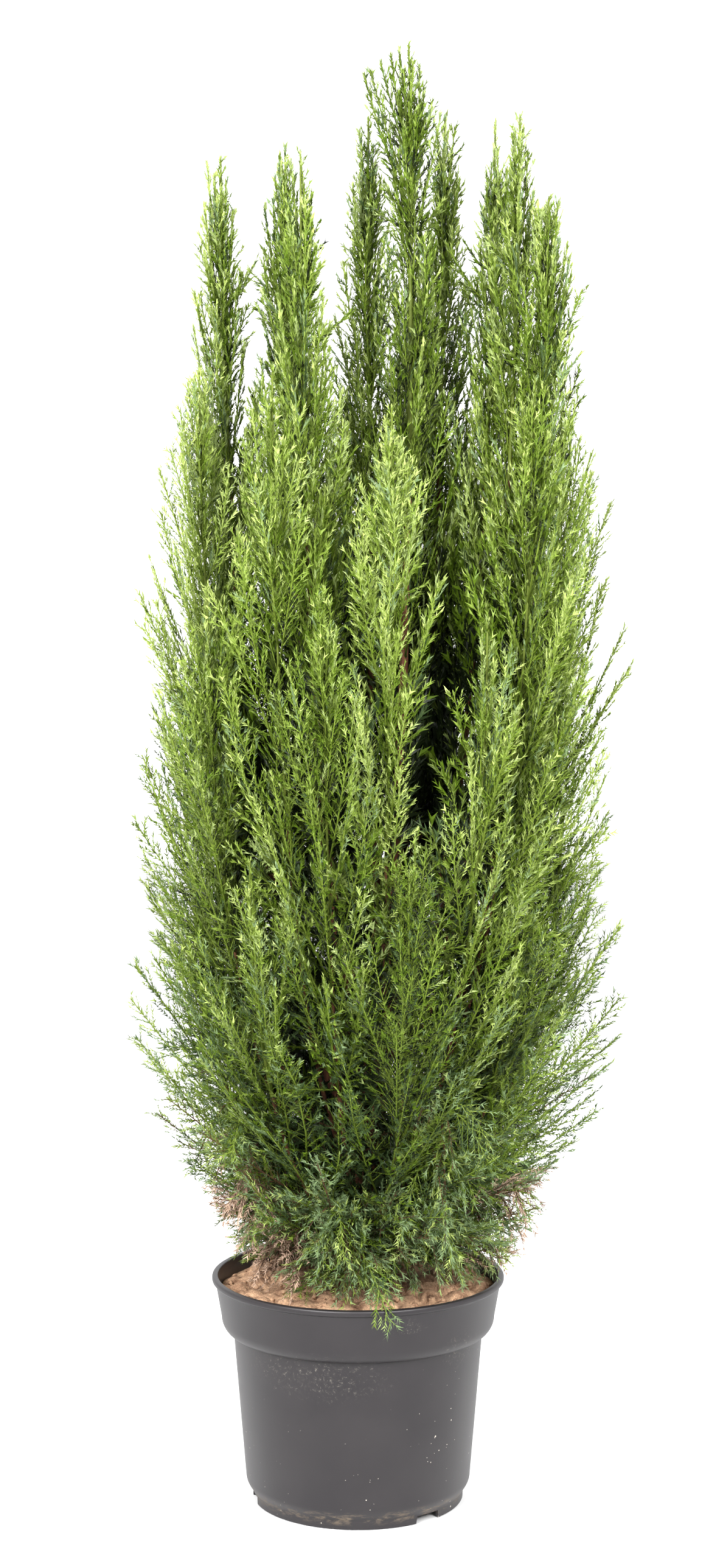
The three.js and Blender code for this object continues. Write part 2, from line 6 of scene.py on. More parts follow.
import bpy
import numpy as np
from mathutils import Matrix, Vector


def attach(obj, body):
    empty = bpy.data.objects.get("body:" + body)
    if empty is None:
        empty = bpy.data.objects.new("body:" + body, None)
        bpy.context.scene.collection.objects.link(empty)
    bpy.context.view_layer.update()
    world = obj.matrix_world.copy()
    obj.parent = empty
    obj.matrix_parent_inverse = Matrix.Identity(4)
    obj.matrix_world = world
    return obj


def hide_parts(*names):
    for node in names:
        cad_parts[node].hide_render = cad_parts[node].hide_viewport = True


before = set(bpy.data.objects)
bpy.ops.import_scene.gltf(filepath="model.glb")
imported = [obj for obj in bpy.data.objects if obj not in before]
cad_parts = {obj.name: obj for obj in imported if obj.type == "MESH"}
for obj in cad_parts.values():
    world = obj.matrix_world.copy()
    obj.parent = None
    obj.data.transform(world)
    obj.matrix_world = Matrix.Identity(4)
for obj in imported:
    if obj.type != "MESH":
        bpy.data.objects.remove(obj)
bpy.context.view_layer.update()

# Shared values: a millimetre in metres, the way up, what keeps the level part of a vector, the steps along a
# limb's curve, and the gap between soil and pot
MM = 0.001
UP = np.array([0.0, 0.0, 1.0])
LEVEL = np.array([1.0, 1.0, 0.0])
CURVE_STEPS = 200
GAP = 0.3

# Camera: fitted to the pot's rim and foot. The sensor's width lies along the picture's long side.
CAMERA_PLACE = (0, -2500, 868)
CAMERA_PITCH = 4.142
CAMERA_LENS = 60.75
CAMERA_SENSOR = 36

# Studio: each light's name, place and power in watts, and the room's brightness towards front and back
LIGHTS = [("left", (-1350, -2250, 2150), 29), ("right", (1350, -2250, 2150), 24)]
LIGHT_TARGET = (0, 0, 1050)
LIGHT_SIZE = 1500
LIGHT_SPREAD = 56
ROOM_FRONT = 0.5
ROOM_BACK = 1.55
STAGE_REACH = 6000
STAGE_Z = -0.5

# Pot: the solid's profile, with the small rounds that moulding leaves
POT_SEGMENTS = 144
POT_HEIGHT = 217
POT_WALL = 2.4
LIP_RADIUS = 140
LIP_HEIGHT = 7
LIP_WIDTH = 5.5
LIP_ROUND = 2.2
BAND_TOP_RADIUS = 136.6
BAND_FOOT_RADIUS = 131
BAND_FOOT_Z = 178
BAND_ROUND_STEPS = 8
BAND_TOP_ROUND = 0.5
BODY_TOP_RADIUS = 119.5
BODY_TOP_Z = 163
BODY_FOOT_RADIUS = 107.4
BODY_FOOT_Z = 18
BODY_FOOT_ROUND = 4.0
FOOT_RADIUS = 101
FOOT_WALL = 3.5
FOOT_HEIGHT = 8.5
FLOOR = 2.5
PAD_RADIUS = 52
PAD_FLANK = 5
EDGE_ROUND = 1.0
EDGE_ROUND_STEPS = 5
NOTCHES = 3
NOTCH_TURN = 40.6
NOTCH_WIDTH = 26
NOTCH_HEIGHT = 7.2
NOTCH_FLARE = 2
NOTCH_DEPTH = 21
DRAINS = 6
DRAIN_RADIUS = 6
DRAIN_CIRCLE = 77
DRAIN_SIDES = 32
POT_SHARP_ANGLE = 40

# Pot's finish: the sizes of its patterns, and the places and heights of its marks
POT_CLOUD = 60
POT_GRAIN = 1.1
SCRATCH_CURVES = 24
SCRATCH_BREAKS = 4
SPECK_SPACING = 3.8
SPECK_COLUMNS = 26
SPECKS_FEW_Z = 190
SPECKS_MANY_Z = 70
SPECKS_RIGHT_X = 60
MUD_Z = 11
MUD_REACH = 8
MUD_CORE = 1
MUD_CRUST = 12
# Rubbed patches on the pot's wall: middle across and up, half width and half height
POT_RUBBED = [(-34, 148, 66, 24), (43, 199, 20, 9), (96, 165, 18, 20)]

# Soil: the solid's mound, and the waves round it: count, turn, drift inwards and share of the lumps' height
SOIL_EDGE_Z = 202
SOIL_CROWN_Z = 208
SOIL_SEAT_RADIUS = 40
SOIL_LUMP = 2.6
SOIL_WAVES = [(3, 0.7, 0, 1), (5, -1.1, 4, 0.8), (8, 0, 0, 0.6)]
SOIL_RINGS = 66
SOIL_SEGMENTS = 200
SOIL_SEED = 31

# Clods that the mound is broken into, with cracks between them: their count, size and height, the lowest
# one's height and the part below the mound as shares of that height, a crack's width, and how they calm
# down towards the pot's wall. Then the finer lumps on them: size, height and seed.
SOIL_CLODS = 240
SOIL_CLOD_SIZE = 15
SOIL_CLOD_HEIGHT = 7
SOIL_CLOD_LEAST = 0.25
SOIL_CLOD_SINK = 0.45
SOIL_CRACK = 2.2
SOIL_CALM_WIDTH = 6
SOIL_CALM_LEAST = 0.25
SOIL_FINE_LUMPS = [(5, 0.8, 3), (2.2, 0.5, 4)]

# Loose crumbs: sizes, the shares of the mound's area that they lie between, and how far they stand up, how
# lumpy and how flat they are
SOIL_CRUMBS = 220
SOIL_CRUMB_SIZES = (0.9, 3.2)
SOIL_CRUMB_AREA = (0.12, 0.97)
SOIL_CRUMB_RISE = 0.3
SOIL_CRUMB_LUMP = 0.28
SOIL_CRUMB_FORM = (1, 1, 0.8)
SOIL_CRUMB_RINGS = 5
SOIL_CRUMB_SIDES = 7

# Soil's finish: the sizes of its patterns
LOAM_CLOUD = 14
LOAM_GRIT = 1.6

# Trunk, boughs and stems
TRUNK_FOOT_Z = 208.3
TRUNK_TIP = np.array([36.0, 26.0, 620.0])
TRUNK_BOW = np.array([8.0, 6.0, 0.0])
TRUNK_RADIUS = 19
TRUNK_TIP_RADIUS = 7.5
TRUNK_PLACES = 110
TRUNK_CROWDING = 1.4
TRUNK_SIDES = 48
FLARE_RADIUS = 11
FLARE_HEIGHT = 16
FLARE_LOBES = 5
FLARE_LOBE_DEPTH = 0.16
BOUGH_RADIUS = 6.5
BOUGH_TIP_RADIUS = 4.5
BOUGH_PLACES = 44
BOUGH_SIDES = 10
STEM_RADIUS = 2.8
STEM_TIP_RADIUS = 0.9
STEM_TAPER = 0.6
STEM_PLACES = 32
STEM_SIDES = 6
STEM_RIND_FROM = 0.45
STEM_RIND = ("stem_green_rind", "#535f1f", 0.6)

# Bark: ridges stretched along the limbs, broader knots, how high both stand on each kind of limb, and the
# width of its strips
BARK_RIDGE = 4
BARK_STRETCH = np.array([1.0, 1.0, 0.16])
BARK_KNOT = 24
BARK_KNOT_HEIGHT = 0.8
BARK_STRIP = 3
TRUNK_RELIEF = 1.5
TRUNK_BARK_SEED = 5
BOUGH_RELIEF = 0.6
BOUGH_BARK_SEED = 9
STEM_RELIEF = 0.25
STEM_BARK_SEED = 77

# How a limb leaves the trunk: shares of its spread and of its rise at the two middle points of its curve
UPRIGHT = ((0.68, 0.11), (0.99, 0.48))
ARCHING = ((0.42, 0.18), (0.82, 0.9))

# Leaders: name, tip and root height on the trunk. The tallest grows on from the trunk's tip.
PLANT_TOP = np.array([48.0, 40.0, 1383.0])
TOP_BOW = np.array([9.0, -3.0, 0.0])
LEADERS = [
    ("left_back", (-131, 60, 1280), 350),
    ("left", (-68, 6, 1282), 450),
    ("left_front", (-52, -74, 1263), 410),
    ("rear_left", (-62, 118, 1236), 385),
    ("rear", (10, 100, 1324), 470),
    ("rear_far", (60, 156, 1204), 340),
    ("rear_right", (84, 94, 1326), 430),
    ("right", (130, 44, 1310), 400),
    ("right_front", (150, -12, 1307), 360),
    ("right_low", (174, -56, 1226), 322),
]
LEADER_LEAFY_Z = 660
LEADER_FOLIAGE = {"kind": "leader", "whorls": 13, "spray": 84, "angle": 34, "bare_rings": 0}

# Rings of side plumes, from the highest to the lowest
RINGS = [
    {"kind": "upper", "turn": 8, "reach": (172, 150), "tip": 1062, "root": 290, "form": UPRIGHT,
     "leafy_from": 0.46, "whorls": 10, "spray": 100, "angle": 36, "bare_rings": 3},
    {"kind": "middle", "turn": 30.5, "reach": (180, 168), "tip": 862, "root": 266, "form": UPRIGHT,
     "leafy_from": 0.32, "whorls": 10, "spray": 112, "angle": 40, "bare_rings": 3},
    {"kind": "lower", "turn": 8, "reach": (176, 166), "tip": 634, "root": 243, "form": UPRIGHT,
     "leafy_from": 0.15, "whorls": 10, "spray": 115, "angle": 46, "bare_rings": 3},
    {"kind": "skirt", "turn": 30.5, "reach": (158, 146), "tip": 400, "root": 220, "form": ARCHING,
     "leafy_from": 0.22, "whorls": 8, "spray": 115, "angle": 50, "bare_rings": 3},
]
RING_COUNT = 8
RING_TURN_JITTER = 4
RING_REACH_JITTER = 0.06
RING_TIP_JITTER = 34
RING_ROOT_STEP = 1.8
RING_ROOT_STRIDE = 3
SKIRT_DIP = 96
SKIRT_TUCK = 0.2
CROWN_CENTRE = np.array([18.0, 4.0, 0.0])
CROWN_OUTLINE_Z = (215, 300, 370, 450, 900, 1080, 1220, 1383)
CROWN_OUTLINE_REACH = (125, 165, 215, 236, 238, 212, 190, 185)

# Sprays: the solid's rule for the whorls along each stem
PLUME_SIDES = 6
PLUME_TWIST = 0.5
CORE_RADIUS = 17
CORE_SWELL = 5
SPRAY_ANGLE_TIP = 18
SPRAY_ANGLE_JITTER = 8
SPRAY_LENGTH_JITTER = 0.2
SPRAY_TURN_JITTER = 0.3
SPRAY_TAPER = 0.85
SPRAY_SHRINK = (1, 0.88, 0.76, 0.64, 0.52, 0.4, 0.28)
GOLDEN_SHARE = 0.618034
AXIS_STEPS = 40
NEIGHBOUR_OVERLAP = 22
RIM_CLEARANCE = 2
LAYOUT_SEED = 2026
PLUME_SEED = 7162

# Where shoots leave the stem, how long the one that ends a plume is, and how many sprays near a plume's tip
# are left out or drawn in
SHOOT_RUN = 60
SHOOT_STAGGER = 0.4
SHOOTS_FROM = 0.8
BEARING_JITTER = 0.1
TERMINAL_SHOOT = 120
TIP_SPRAY_LOSS = 0.35
TIP_SPRAY_STAGGER = 0.4
TWIG_SEED = 405

# Sprays that arch over and hang in front of the soil, from the stems of the lowest plumes
HANGING_COUNT = 20
HANGING_OUT = (25, 85)
HANGING_DROP = (25, 120)
HANGING_SWING = 0.7
HANGING_ARCH = 0.2
# The one that hangs over the front of the lip: its plume, the share up the stem where it starts, and its tip
LIP_SPRAY = ("skirt_8", 0.7, (30, -147, 205))

# Shoots that fork from the top of each plume, a little lower than its tip: how far down the stem they leave
# it and end, and how far they spread for each millimetre that they end below the tip
FORKS = {"leader": 8, "upper": 4, "middle": 4, "lower": 3, "skirt": 2}
FORK_ROOTS = (90, 190)
FORK_DROPS = (8, 150)
FORK_LEAST_LENGTH = 30
FORK_SPREAD = 0.28
FORK_SPREAD_JITTER = (0.7, 1.3)
FORK_SPREAD_LEAST = 3
# Those of the tallest leader: their tips across and up from its tip, how far below them they leave the stem,
# and how far they stand to the front or back
TOP_FORKS = [(-9, -5), (-17, -11), (-26, -15), (-36, -26), (-42, -31),
             (10, -21), (15, -40), (22, -54), (30, -66)]
TOP_FORK_LENGTH = 75
TOP_FORK_FALL = 1.3
TOP_FORK_DEPTH = 8

# Short sprays on the bare part of boughs and side stems, which close the view into the crown
INNER_STEP = 9
INNER_FROM = 0.25
INNER_SPRAY = 85
INNER_SPRAY_JITTER = (0.7, 1.1)
INNER_ANGLE = 52

# Shade: how deep sprays stand inside the crown's outline before they thin out, and the heights between which
# the crown opens into separate leaders that are lit all round
RIM_DEPTHS = (15, 50)
SHADE_DEPTHS = (70, 125)
SHADE_OPENS = (800, 960)
SHADE_LOSS = 0.65
SHADE_SPACING = 1.6
SHADE_NEEDLE = 2.4

# Finer growth on each spray: the share of loose sprays left out, the longest branchlet, the distance
# between branchlets and how far they lean out, and how far the middle of the shoot stands above its chord
# as a share of its length. Then the length of a needle, its width as a share of that, its angle and
# spacing, and a shift of its colour's tone; the lower ring's darker shift is partly painted shade.
GROWTH = {
    "leader": {"lost": 0.0, "branchlet": 25, "step": 6.0, "lean": 36, "arch": -0.13,
               "needle": 5.5, "width": 0.58, "angle": 27, "needle_step": 2.2, "tone": -0.2},
    "upper": {"lost": 0.36, "branchlet": 26, "step": 5.4, "lean": 40, "arch": -0.12,
              "needle": 5.2, "width": 0.52, "angle": 31, "needle_step": 2.7, "tone": 0.0},
    "middle": {"lost": 0.44, "branchlet": 28, "step": 5.4, "lean": 42, "arch": -0.09,
               "needle": 5.2, "width": 0.48, "angle": 34, "needle_step": 2.8, "tone": -0.4},
    "lower": {"lost": 0.46, "branchlet": 29, "step": 5.4, "lean": 46, "arch": -0.03,
              "needle": 5.1, "width": 0.42, "angle": 38, "needle_step": 2.8, "tone": -0.45},
    "skirt": {"lost": 0.35, "branchlet": 28, "step": 5.4, "lean": 46, "arch": 0.08,
              "needle": 5.6, "width": 0.34, "angle": 40, "needle_step": 3.0, "tone": 0.05},
}

# Shoots: how they bend, how far their flat faces turn from the crown's outside, and their thickness.
# Short ones are thinner.
ARCH_JITTER = 0.07
SWAY = 0.05
FACE_SCATTER = 0.8
SHOOT_PARTS = 3
SHOOT_NEEDLES_FROM = (0.5, 0.9)
SHOOT_NEEDLE_STEPS = (3.0, 1.9)
SHOOT_RADIUS = 1.3
SHOOT_TIP_RADIUS = 0.45
SHOOT_THICK_FROM = 80
SHOOT_PLACES = 4
SHOOT_SIDES = 3

# Branchlets: where they start on a shoot, how they lean, roll and curl, and the limits of their length
BRANCHLETS_LEAST = 3
BRANCHLETS_FROM = 0.15
BRANCHLET_ANGLE_JITTER = 9
BRANCHLET_ANGLE_FALL = 12
BRANCHLET_ROLL = 22
BRANCHLET_CURL = 0.16
BRANCHLET_LENGTHS = (5, 38)
BRANCHLET_LENGTH_JITTER = 0.18
BRANCHLET_RADIUS = 0.5
# A spray's feather shape: its branchlets grow from a share of full length at its foot, then taper to its tip.
# They are shorter on short shoots and towards the plume's tip.
FEATHER_FOOT = 0.45
FEATHER_RISE = 2.6
FEATHER_TAPER = 0.4
FEATHER_TIP = 0.14
FULL_SHOOT = 85
SHORT_SHOOT_SHARE = 0.12
TIP_BRANCHLET_LOSS = 0.3

# Needles: how they crowd towards a twig's tip, lean, turn and tilt, and how their size runs along the twig
NEEDLE_PAIRS_LEAST = 2
TUFT = 1.4
NEEDLE_ANGLE_FALL = 10
NEEDLE_ANGLE_JITTER = 8
NEEDLE_TILT = 0.55
NEEDLE_TURN_EVERY = 3
NEEDLE_TURN = 0.7
NEEDLE_TURN_JITTER = 0.3
NEEDLE_SIZE_FOOT = 0.8
NEEDLE_SIZE_RISE = 0.5
NEEDLE_SIZE_FALL = 0.35
NEEDLE_SIZE_JITTER = 0.16

# Needle colours: young ones are yellow-green, old ones deep green, and low ones waxy blue-green. The
# near-black deep green is also painted shade for sprays deep inside the crown.
NEEDLE_COLOURS = [
    ("needle_deep_green_old_and_painted_shade", "#111a05", 0.5),
    ("needle_green", "#495f10", 0.5),
    ("needle_light_green", "#6c8030", 0.48),
    ("needle_fresh_tip", "#95a55a", 0.45),
    ("needle_grey_green", "#4c5b21", 0.5),
    ("needle_pale_grey_green", "#87975a", 0.5),
    ("needle_blue_green", "#3b4d2a", 0.5),
    ("needle_pale_blue_green", "#6b7f56", 0.5),
    ("needle_dead_brown", "#846a58", 0.8),
    ("needle_dead_tan", "#b69b86", 0.8),
]
DEEP, GREEN, LIGHT, FRESH, GREY, PALE_GREY, BLUE, PALE_BLUE, DEAD, DEAD_TAN = range(len(NEEDLE_COLOURS))
IN_LEAF, BLOOMED, WAXY, WITHERED = range(4)

# Tones: deep green and green end at theirs, fresh tips start at theirs, and waxy, bloomed and dead needles
# turn pale above the young one. A needle's own tone varies between plumes, sprays and twigs, gets younger
# towards the ends of shoots and twigs, and is darkened as painted shade deep inside the crown.
DEEP_TONE = -0.75
GREEN_TONE = 0.0
YOUNG_TONE = 0.1
FRESH_TONE = 0.62
PLUME_TONE_JITTER = 0.2
SPRAY_TONE_JITTER = 0.3
TWIG_TONE_JITTER = 0.25
SHOOT_TONE = 1.1
TIP_TONE = 1.1
PAINTED_SHADE_TONE = 1.8

# Shares of needles that are waxy blue-green, and of those with a grey bloom, by height
WAXY_HEIGHTS = (300, 420, 560, 760)
WAXY_SHARES = (0.6, 0.45, 0.2, 0.03)
BLOOMED_HEIGHTS = (300, 600, 1000, 1300)
BLOOMED_SHARES = (0.3, 0.2, 0.16, 0.3)
COAT_JITTER = 0.15

# Withered patches low on the crown: the side, how far out they start, the height they stay under, and the
# share of sprays. They lie within a depth of a line across the front.
WITHERED_PATCHES = [(-1, 58, 320, 0.58), (1, 120, 330, 0.3)]
WITHERED_Y = -25
WITHERED_DEPTH = 75

# Twig colours. Some of the low shoots are already woody.
TWIG_COLOURS = [
    ("twig_green_rind", "#67792a", 0.5),
    ("twig_young_bark", "#4d3322", 0.75),
    ("twig_dead_bark", "#4a382b", 0.85),
]
GREEN_TWIG, WOODY_TWIG, DEAD_TWIG = range(len(TWIG_COLOURS))
WOODY_BELOW_Z = 420
WOODY_SHARE = 0.4

# Pieces of needles, each under 200,000 triangles, and the leaders that two of them hold
LEFT_LEADERS = ["left_back", "left", "left_front", "rear_left", "rear", "rear_far"]
RIGHT_LEADERS = ["top", "rear_right", "right", "right_front", "right_low"]


# Small helpers

def linear(hex_text):
    """An sRGB hex colour as linear red, green, blue and alpha."""
    shares = [int(hex_text[i:i + 2], 16) / 255 for i in (1, 3, 5)]
    return [s / 12.92 if s <= 0.04045 else ((s + 0.055) / 1.055) ** 2.4 for s in shares] + [1.0]


def per_metre(size):
    """A pattern's scale from the real size of its features in millimetres."""
    return 1 / (size * MM)


def unit(rows):
    """Rows of vectors, each made one long."""
    return rows / np.maximum(np.linalg.norm(rows, axis=-1, keepdims=True), 1e-9)


def square_to(along, hint):
    """Vectors square to rows of directions, as near as can be to a hint."""
    return unit(hint - along * np.sum(hint * along, axis=-1, keepdims=True))


def columns_of(rows):
    """Rows of values as one array for each column."""
    return [np.array(column) for column in zip(*rows)]


def turns_round(sides):
    """Angles of points spaced evenly round a circle."""
    return np.arange(sides) * 2 * math.pi / sides


def seeded_rolls(seed):
    """A repeatable row of numbers from -1 to 1, by the solid's rule."""
    state = seed

    def roll():
        nonlocal state
        state = (state * 1664525 + 1013904223) % 2 ** 32
        return 2 * state / 2 ** 32 - 1
    return roll


def value_noise(points, size, seed):
    """Soft noise from -1 to 1 at rows of points, with lumps of a given size. The large numbers only mix the
    cells' numbers, so that neighbours get values that have nothing to do with each other."""
    places = points / size + 1000
    cells = np.floor(places).astype(np.int64)
    ease = places - cells
    ease = ease * ease * (3 - 2 * ease)
    total = np.zeros(len(points))
    for corner in np.ndindex(2, 2, 2):
        at = cells + np.array(corner)
        mixed = (at[:, 0] * 73856093) ^ (at[:, 1] * 19349663) ^ (at[:, 2] * 83492791) ^ (seed * 2654435761)
        mixed = (mixed ^ (mixed >> 13)) * 1274126177
        value = ((mixed ^ (mixed >> 16)) & 0xFFFF) / 32767.5 - 1
        total += value * np.prod(np.where(np.array(corner) == 1, ease, 1 - ease), axis=1)
    return total


# Meshes

def add_piece(name, points, triangles, materials, slots=None, smooth=True):
    """A mesh piece of the plant or pot, from points in millimetres and triangles."""
    points = np.asarray(points, dtype=np.float32).reshape(-1, 3) * MM
    triangles = np.asarray(triangles, dtype=np.int32)
    mesh = bpy.data.meshes.new(name)
    mesh.vertices.add(len(points))
    mesh.vertices.foreach_set("co", points.ravel())
    mesh.loops.add(triangles.size)
    mesh.loops.foreach_set("vertex_index", triangles.ravel())
    mesh.polygons.add(len(triangles))
    mesh.polygons.foreach_set("loop_start", np.arange(0, triangles.size, 3, dtype=np.int32))
    mesh.polygons.foreach_set("use_smooth", np.full(len(triangles), smooth))
    if slots is not None:
        mesh.polygons.foreach_set("material_index", np.asarray(slots, dtype=np.int32))
    mesh.update(calc_edges=True)
    for material in materials:
        mesh.materials.append(material)
    piece = bpy.data.objects.new(name, mesh)
    bpy.context.collection.objects.link(piece)
    return piece


def place_piece(piece, nodes=()):
    """Puts a piece on the plant's one body, and hides the solids that it stands for."""
    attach(piece, "root")
    if nodes:
        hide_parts(*nodes)


def ring_triangles(rows, columns):
    """Triangles between closed rings of points, row by row."""
    row = np.arange(rows - 1)[:, None] * columns
    here = np.arange(columns)[None, :]
    onward = (here + 1) % columns
    near, far = row + here, row + onward
    first = np.stack([near, far, far + columns], axis=-1)
    second = np.stack([near, far + columns, near + columns], axis=-1)
    return np.concatenate([half.reshape(-1, 3) for half in (first, second)])


def fan_triangles(columns):
    """Triangles over one flat ring of points."""
    corner = np.arange(1, columns - 1)
    return np.stack([np.zeros_like(corner), corner, corner + 1], axis=-1)


def tube_triangles(paths, places, sides):
    """Triangles for a number of closed tubes that all have the same count of rings and sides."""
    cap = fan_triangles(sides)
    one = np.concatenate([ring_triangles(places, sides), cap[:, ::-1], cap + (places - 1) * sides])
    return (one[None] + (np.arange(paths) * places * sides)[:, None, None]).reshape(-1, 3)


def tube_points(paths, hint, radius, sides):
    """Rings of points round paths. A path's radius is given for each place, or for each place and side."""
    along = unit(np.gradient(paths, axis=1))
    first = square_to(along, np.broadcast_to(hint[:, None, :], along.shape))
    second = np.cross(along, first)
    turns = turns_round(sides)
    rings = first[:, :, None, :] * np.cos(turns)[:, None] + second[:, :, None, :] * np.sin(turns)[:, None]
    radius = radius.reshape(*paths.shape[:2], -1, 1)
    return paths[:, :, None, :] + rings * radius


def bark_points(paths, hint, radius, sides, relief, seed):
    """Rings of points round limbs, with shallow ridges and furrows that run along them."""
    smooth = tube_points(paths, hint, radius, sides)
    ridges = value_noise(smooth.reshape(-1, 3) * BARK_STRETCH, BARK_RIDGE, seed)
    knots = value_noise(smooth.reshape(-1, 3), BARK_KNOT, seed + 1)
    swell = relief * (ridges + BARK_KNOT_HEIGHT * knots).reshape(smooth.shape[:3])
    radius = radius.reshape(*paths.shape[:2], -1) + swell * np.minimum(1, radius / STEM_RADIUS)[:, :, None]
    return tube_points(paths, hint, radius, sides)


# Materials

def link_inputs(tree, node, links):
    """Links a node's inputs, each to an output or to a node whose first output is meant."""
    for name, source in links.items():
        output = source.outputs[0] if isinstance(source, bpy.types.Node) else source
        tree.links.new(output, node.inputs[name])


def add_node(tree, kind, settings=None, links=None):
    """Adds a shader node, sets its sockets, its own values or its ramp, and links its inputs."""
    node = tree.nodes.new("ShaderNode" + kind)
    for name, value in (settings or {}).items():
        if name == "stops":
            for end, (position, colour) in zip(node.color_ramp.elements, value):
                end.position = position
                end.color = linear(colour)
        elif isinstance(name, int) or name in node.inputs:
            node.inputs[name].default_value = value
        else:
            setattr(node, name, value)
    link_inputs(tree, node, links or {})
    return node


def new_material(name, settings):
    """A material with one surface shader, set as given, and its node tree."""
    material = bpy.data.materials.new(name)
    material.use_nodes = True
    tree = material.node_tree
    tree.nodes.clear()
    shader = add_node(tree, "BsdfPrincipled", settings)
    add_node(tree, "OutputMaterial", links={"Surface": shader})
    return material, tree, shader


def living_material(name, colour, roughness):
    """A needle's or twig's skin in one plain colour. Its thin wax gives the eye a soft, broad gloss."""
    settings = {"Base Color": linear(colour), "Roughness": roughness, "IOR": 1.42, "Specular IOR Level": 0.28}
    return new_material(name, settings)[0]


def pot_plastic():
    """Dark grey polypropylene, injection moulded: a soft gloss that lights up at the sides, with thin pale
    scratches from handling, specks of lime from watering, and a broken line of dry mud above the foot."""
    settings = {"IOR": 1.49, "Specular IOR Level": 0.54}
    material, tree, shader = new_material("polypropylene_moulded_grey", settings)
    place = add_node(tree, "TexCoord").outputs["Object"]
    split = add_node(tree, "SeparateXYZ", links={0: place})

    cloud = add_node(tree, "TexNoise", {"Scale": per_metre(POT_CLOUD), "Detail": 3}, {"Vector": place})
    base = add_node(tree, "ValToRGB", {"stops": [(0.3, "#1c181b"), (0.7, "#242022")]}, {"Fac": cloud})

    # Scratches are thin broken curves, in the patches where hands and trays rub
    swirl = add_node(tree, "TexNoise", {"Scale": per_metre(SCRATCH_CURVES), "Detail": 5, "Distortion": 0.4},
                     {"Vector": place})
    swirl = add_node(tree, "Math", {"operation": "PINGPONG", 1: 0.035}, {0: swirl})
    scratch = add_node(tree, "MapRange", {"From Min": 0.007, "From Max": 0.001}, {0: swirl})
    breaks = add_node(tree, "TexNoise", {"Scale": per_metre(SCRATCH_BREAKS), "Detail": 5, "Roughness": 0.75},
                      {"Vector": place})
    breaks = add_node(tree, "MapRange", {"From Min": 0.5, "From Max": 0.7}, {0: breaks})
    rubbed = None
    for x, z, half_width, half_height in POT_RUBBED:
        stretch = (per_metre(half_width), 0, per_metre(half_height))
        shift = (-x / half_width, 0, -z / half_height)
        middle = add_node(tree, "Mapping", {"Location": shift, "Scale": stretch}, {"Vector": place})
        reach = add_node(tree, "VectorMath", {"operation": "LENGTH"}, {0: middle}).outputs["Value"]
        patch = add_node(tree, "MapRange", {"From Min": 1.15, "From Max": 0.4}, {0: reach})
        if rubbed:
            patch = add_node(tree, "Math", {"operation": "MAXIMUM"}, {0: rubbed, 1: patch})
        rubbed = patch
    scuff = add_node(tree, "MapRange", {"To Min": 0.08, "To Max": 0.95}, {0: scratch})
    for factor in (breaks, rubbed):
        scuff = add_node(tree, "Math", {"operation": "MULTIPLY"}, {0: scuff, 1: factor})

    # Lime specks are up to about two millimetres wide, most of them low down and to the right
    cells = add_node(tree, "TexVoronoi", {"Scale": per_metre(SPECK_SPACING)}, {"Vector": place})
    chance = add_node(tree, "SeparateColor", links={0: cells.outputs["Color"]})
    size = add_node(tree, "Math", {"operation": "POWER", 1: 5}, {0: chance})
    heights = {"From Min": SPECKS_FEW_Z * MM, "From Max": SPECKS_MANY_Z * MM, "To Min": 0.04, "To Max": 0.3}
    low = add_node(tree, "MapRange", heights, {0: split.outputs["Z"]})
    right = add_node(tree, "MapRange", {"From Max": SPECKS_RIGHT_X * MM, "To Min": 0.5},
                     {0: split.outputs["X"]})
    tall = add_node(tree, "Mapping", {"Scale": (1, 1, 0.2)}, {"Vector": place})
    column = add_node(tree, "TexNoise", {"Scale": per_metre(SPECK_COLUMNS), "Detail": 2}, {"Vector": tall})
    column = add_node(tree, "MapRange", {"From Min": 0.4, "From Max": 0.56}, {0: column})
    for factor in (low, right, column):
        size = add_node(tree, "Math", {"operation": "MULTIPLY"}, {0: size, 1: factor})
    speck = add_node(tree, "Math", {"operation": "LESS_THAN"}, {0: cells.outputs["Distance"], 1: size})

    # Mud dries in a thin broken line on the ledge above the foot ring
    above = add_node(tree, "Math", {"operation": "SUBTRACT", 1: MUD_Z * MM}, {0: split.outputs["Z"]})
    above = add_node(tree, "Math", {"operation": "ABSOLUTE"}, {0: above})
    foot = add_node(tree, "MapRange", {"From Min": MUD_REACH * MM, "From Max": MUD_CORE * MM}, {0: above})
    flat = add_node(tree, "Mapping", {"Scale": (1, 1, 3)}, {"Vector": place})
    crust = add_node(tree, "TexNoise", {"Scale": per_metre(MUD_CRUST), "Detail": 6, "Roughness": 0.75},
                     {"Vector": flat})
    crust = add_node(tree, "MapRange", {"From Min": 0.48, "From Max": 0.68, "To Max": 0.7}, {0: crust})
    mud = add_node(tree, "Math", {"operation": "MULTIPLY"}, {0: foot, 1: crust})

    colour = base
    for mark, paint in ((scuff, "#8a847a"), (mud, "#8b7a64"), (speck, "#b8b1a4")):
        marked = add_node(tree, "Mix", {"data_type": "RGBA", 7: linear(paint)}, {0: mark, 6: colour})
        colour = marked.outputs[2]
    worn = add_node(tree, "Math", {"operation": "MAXIMUM"}, {0: scuff, 1: mud})
    rough = add_node(tree, "MapRange", {"To Min": 0.42, "To Max": 0.8}, {0: worn})

    # The mould's own grain is finer than shows here, so it is drawn about a millimetre wide
    grain = add_node(tree, "TexNoise", {"Scale": per_metre(POT_GRAIN), "Detail": 2}, {"Vector": place})
    bump = add_node(tree, "Bump", {"Strength": 0.08, "Distance": 0.3 * MM}, {"Height": grain})
    link_inputs(tree, shader, {"Base Color": colour, "Roughness": rough, "Normal": bump})
    return material


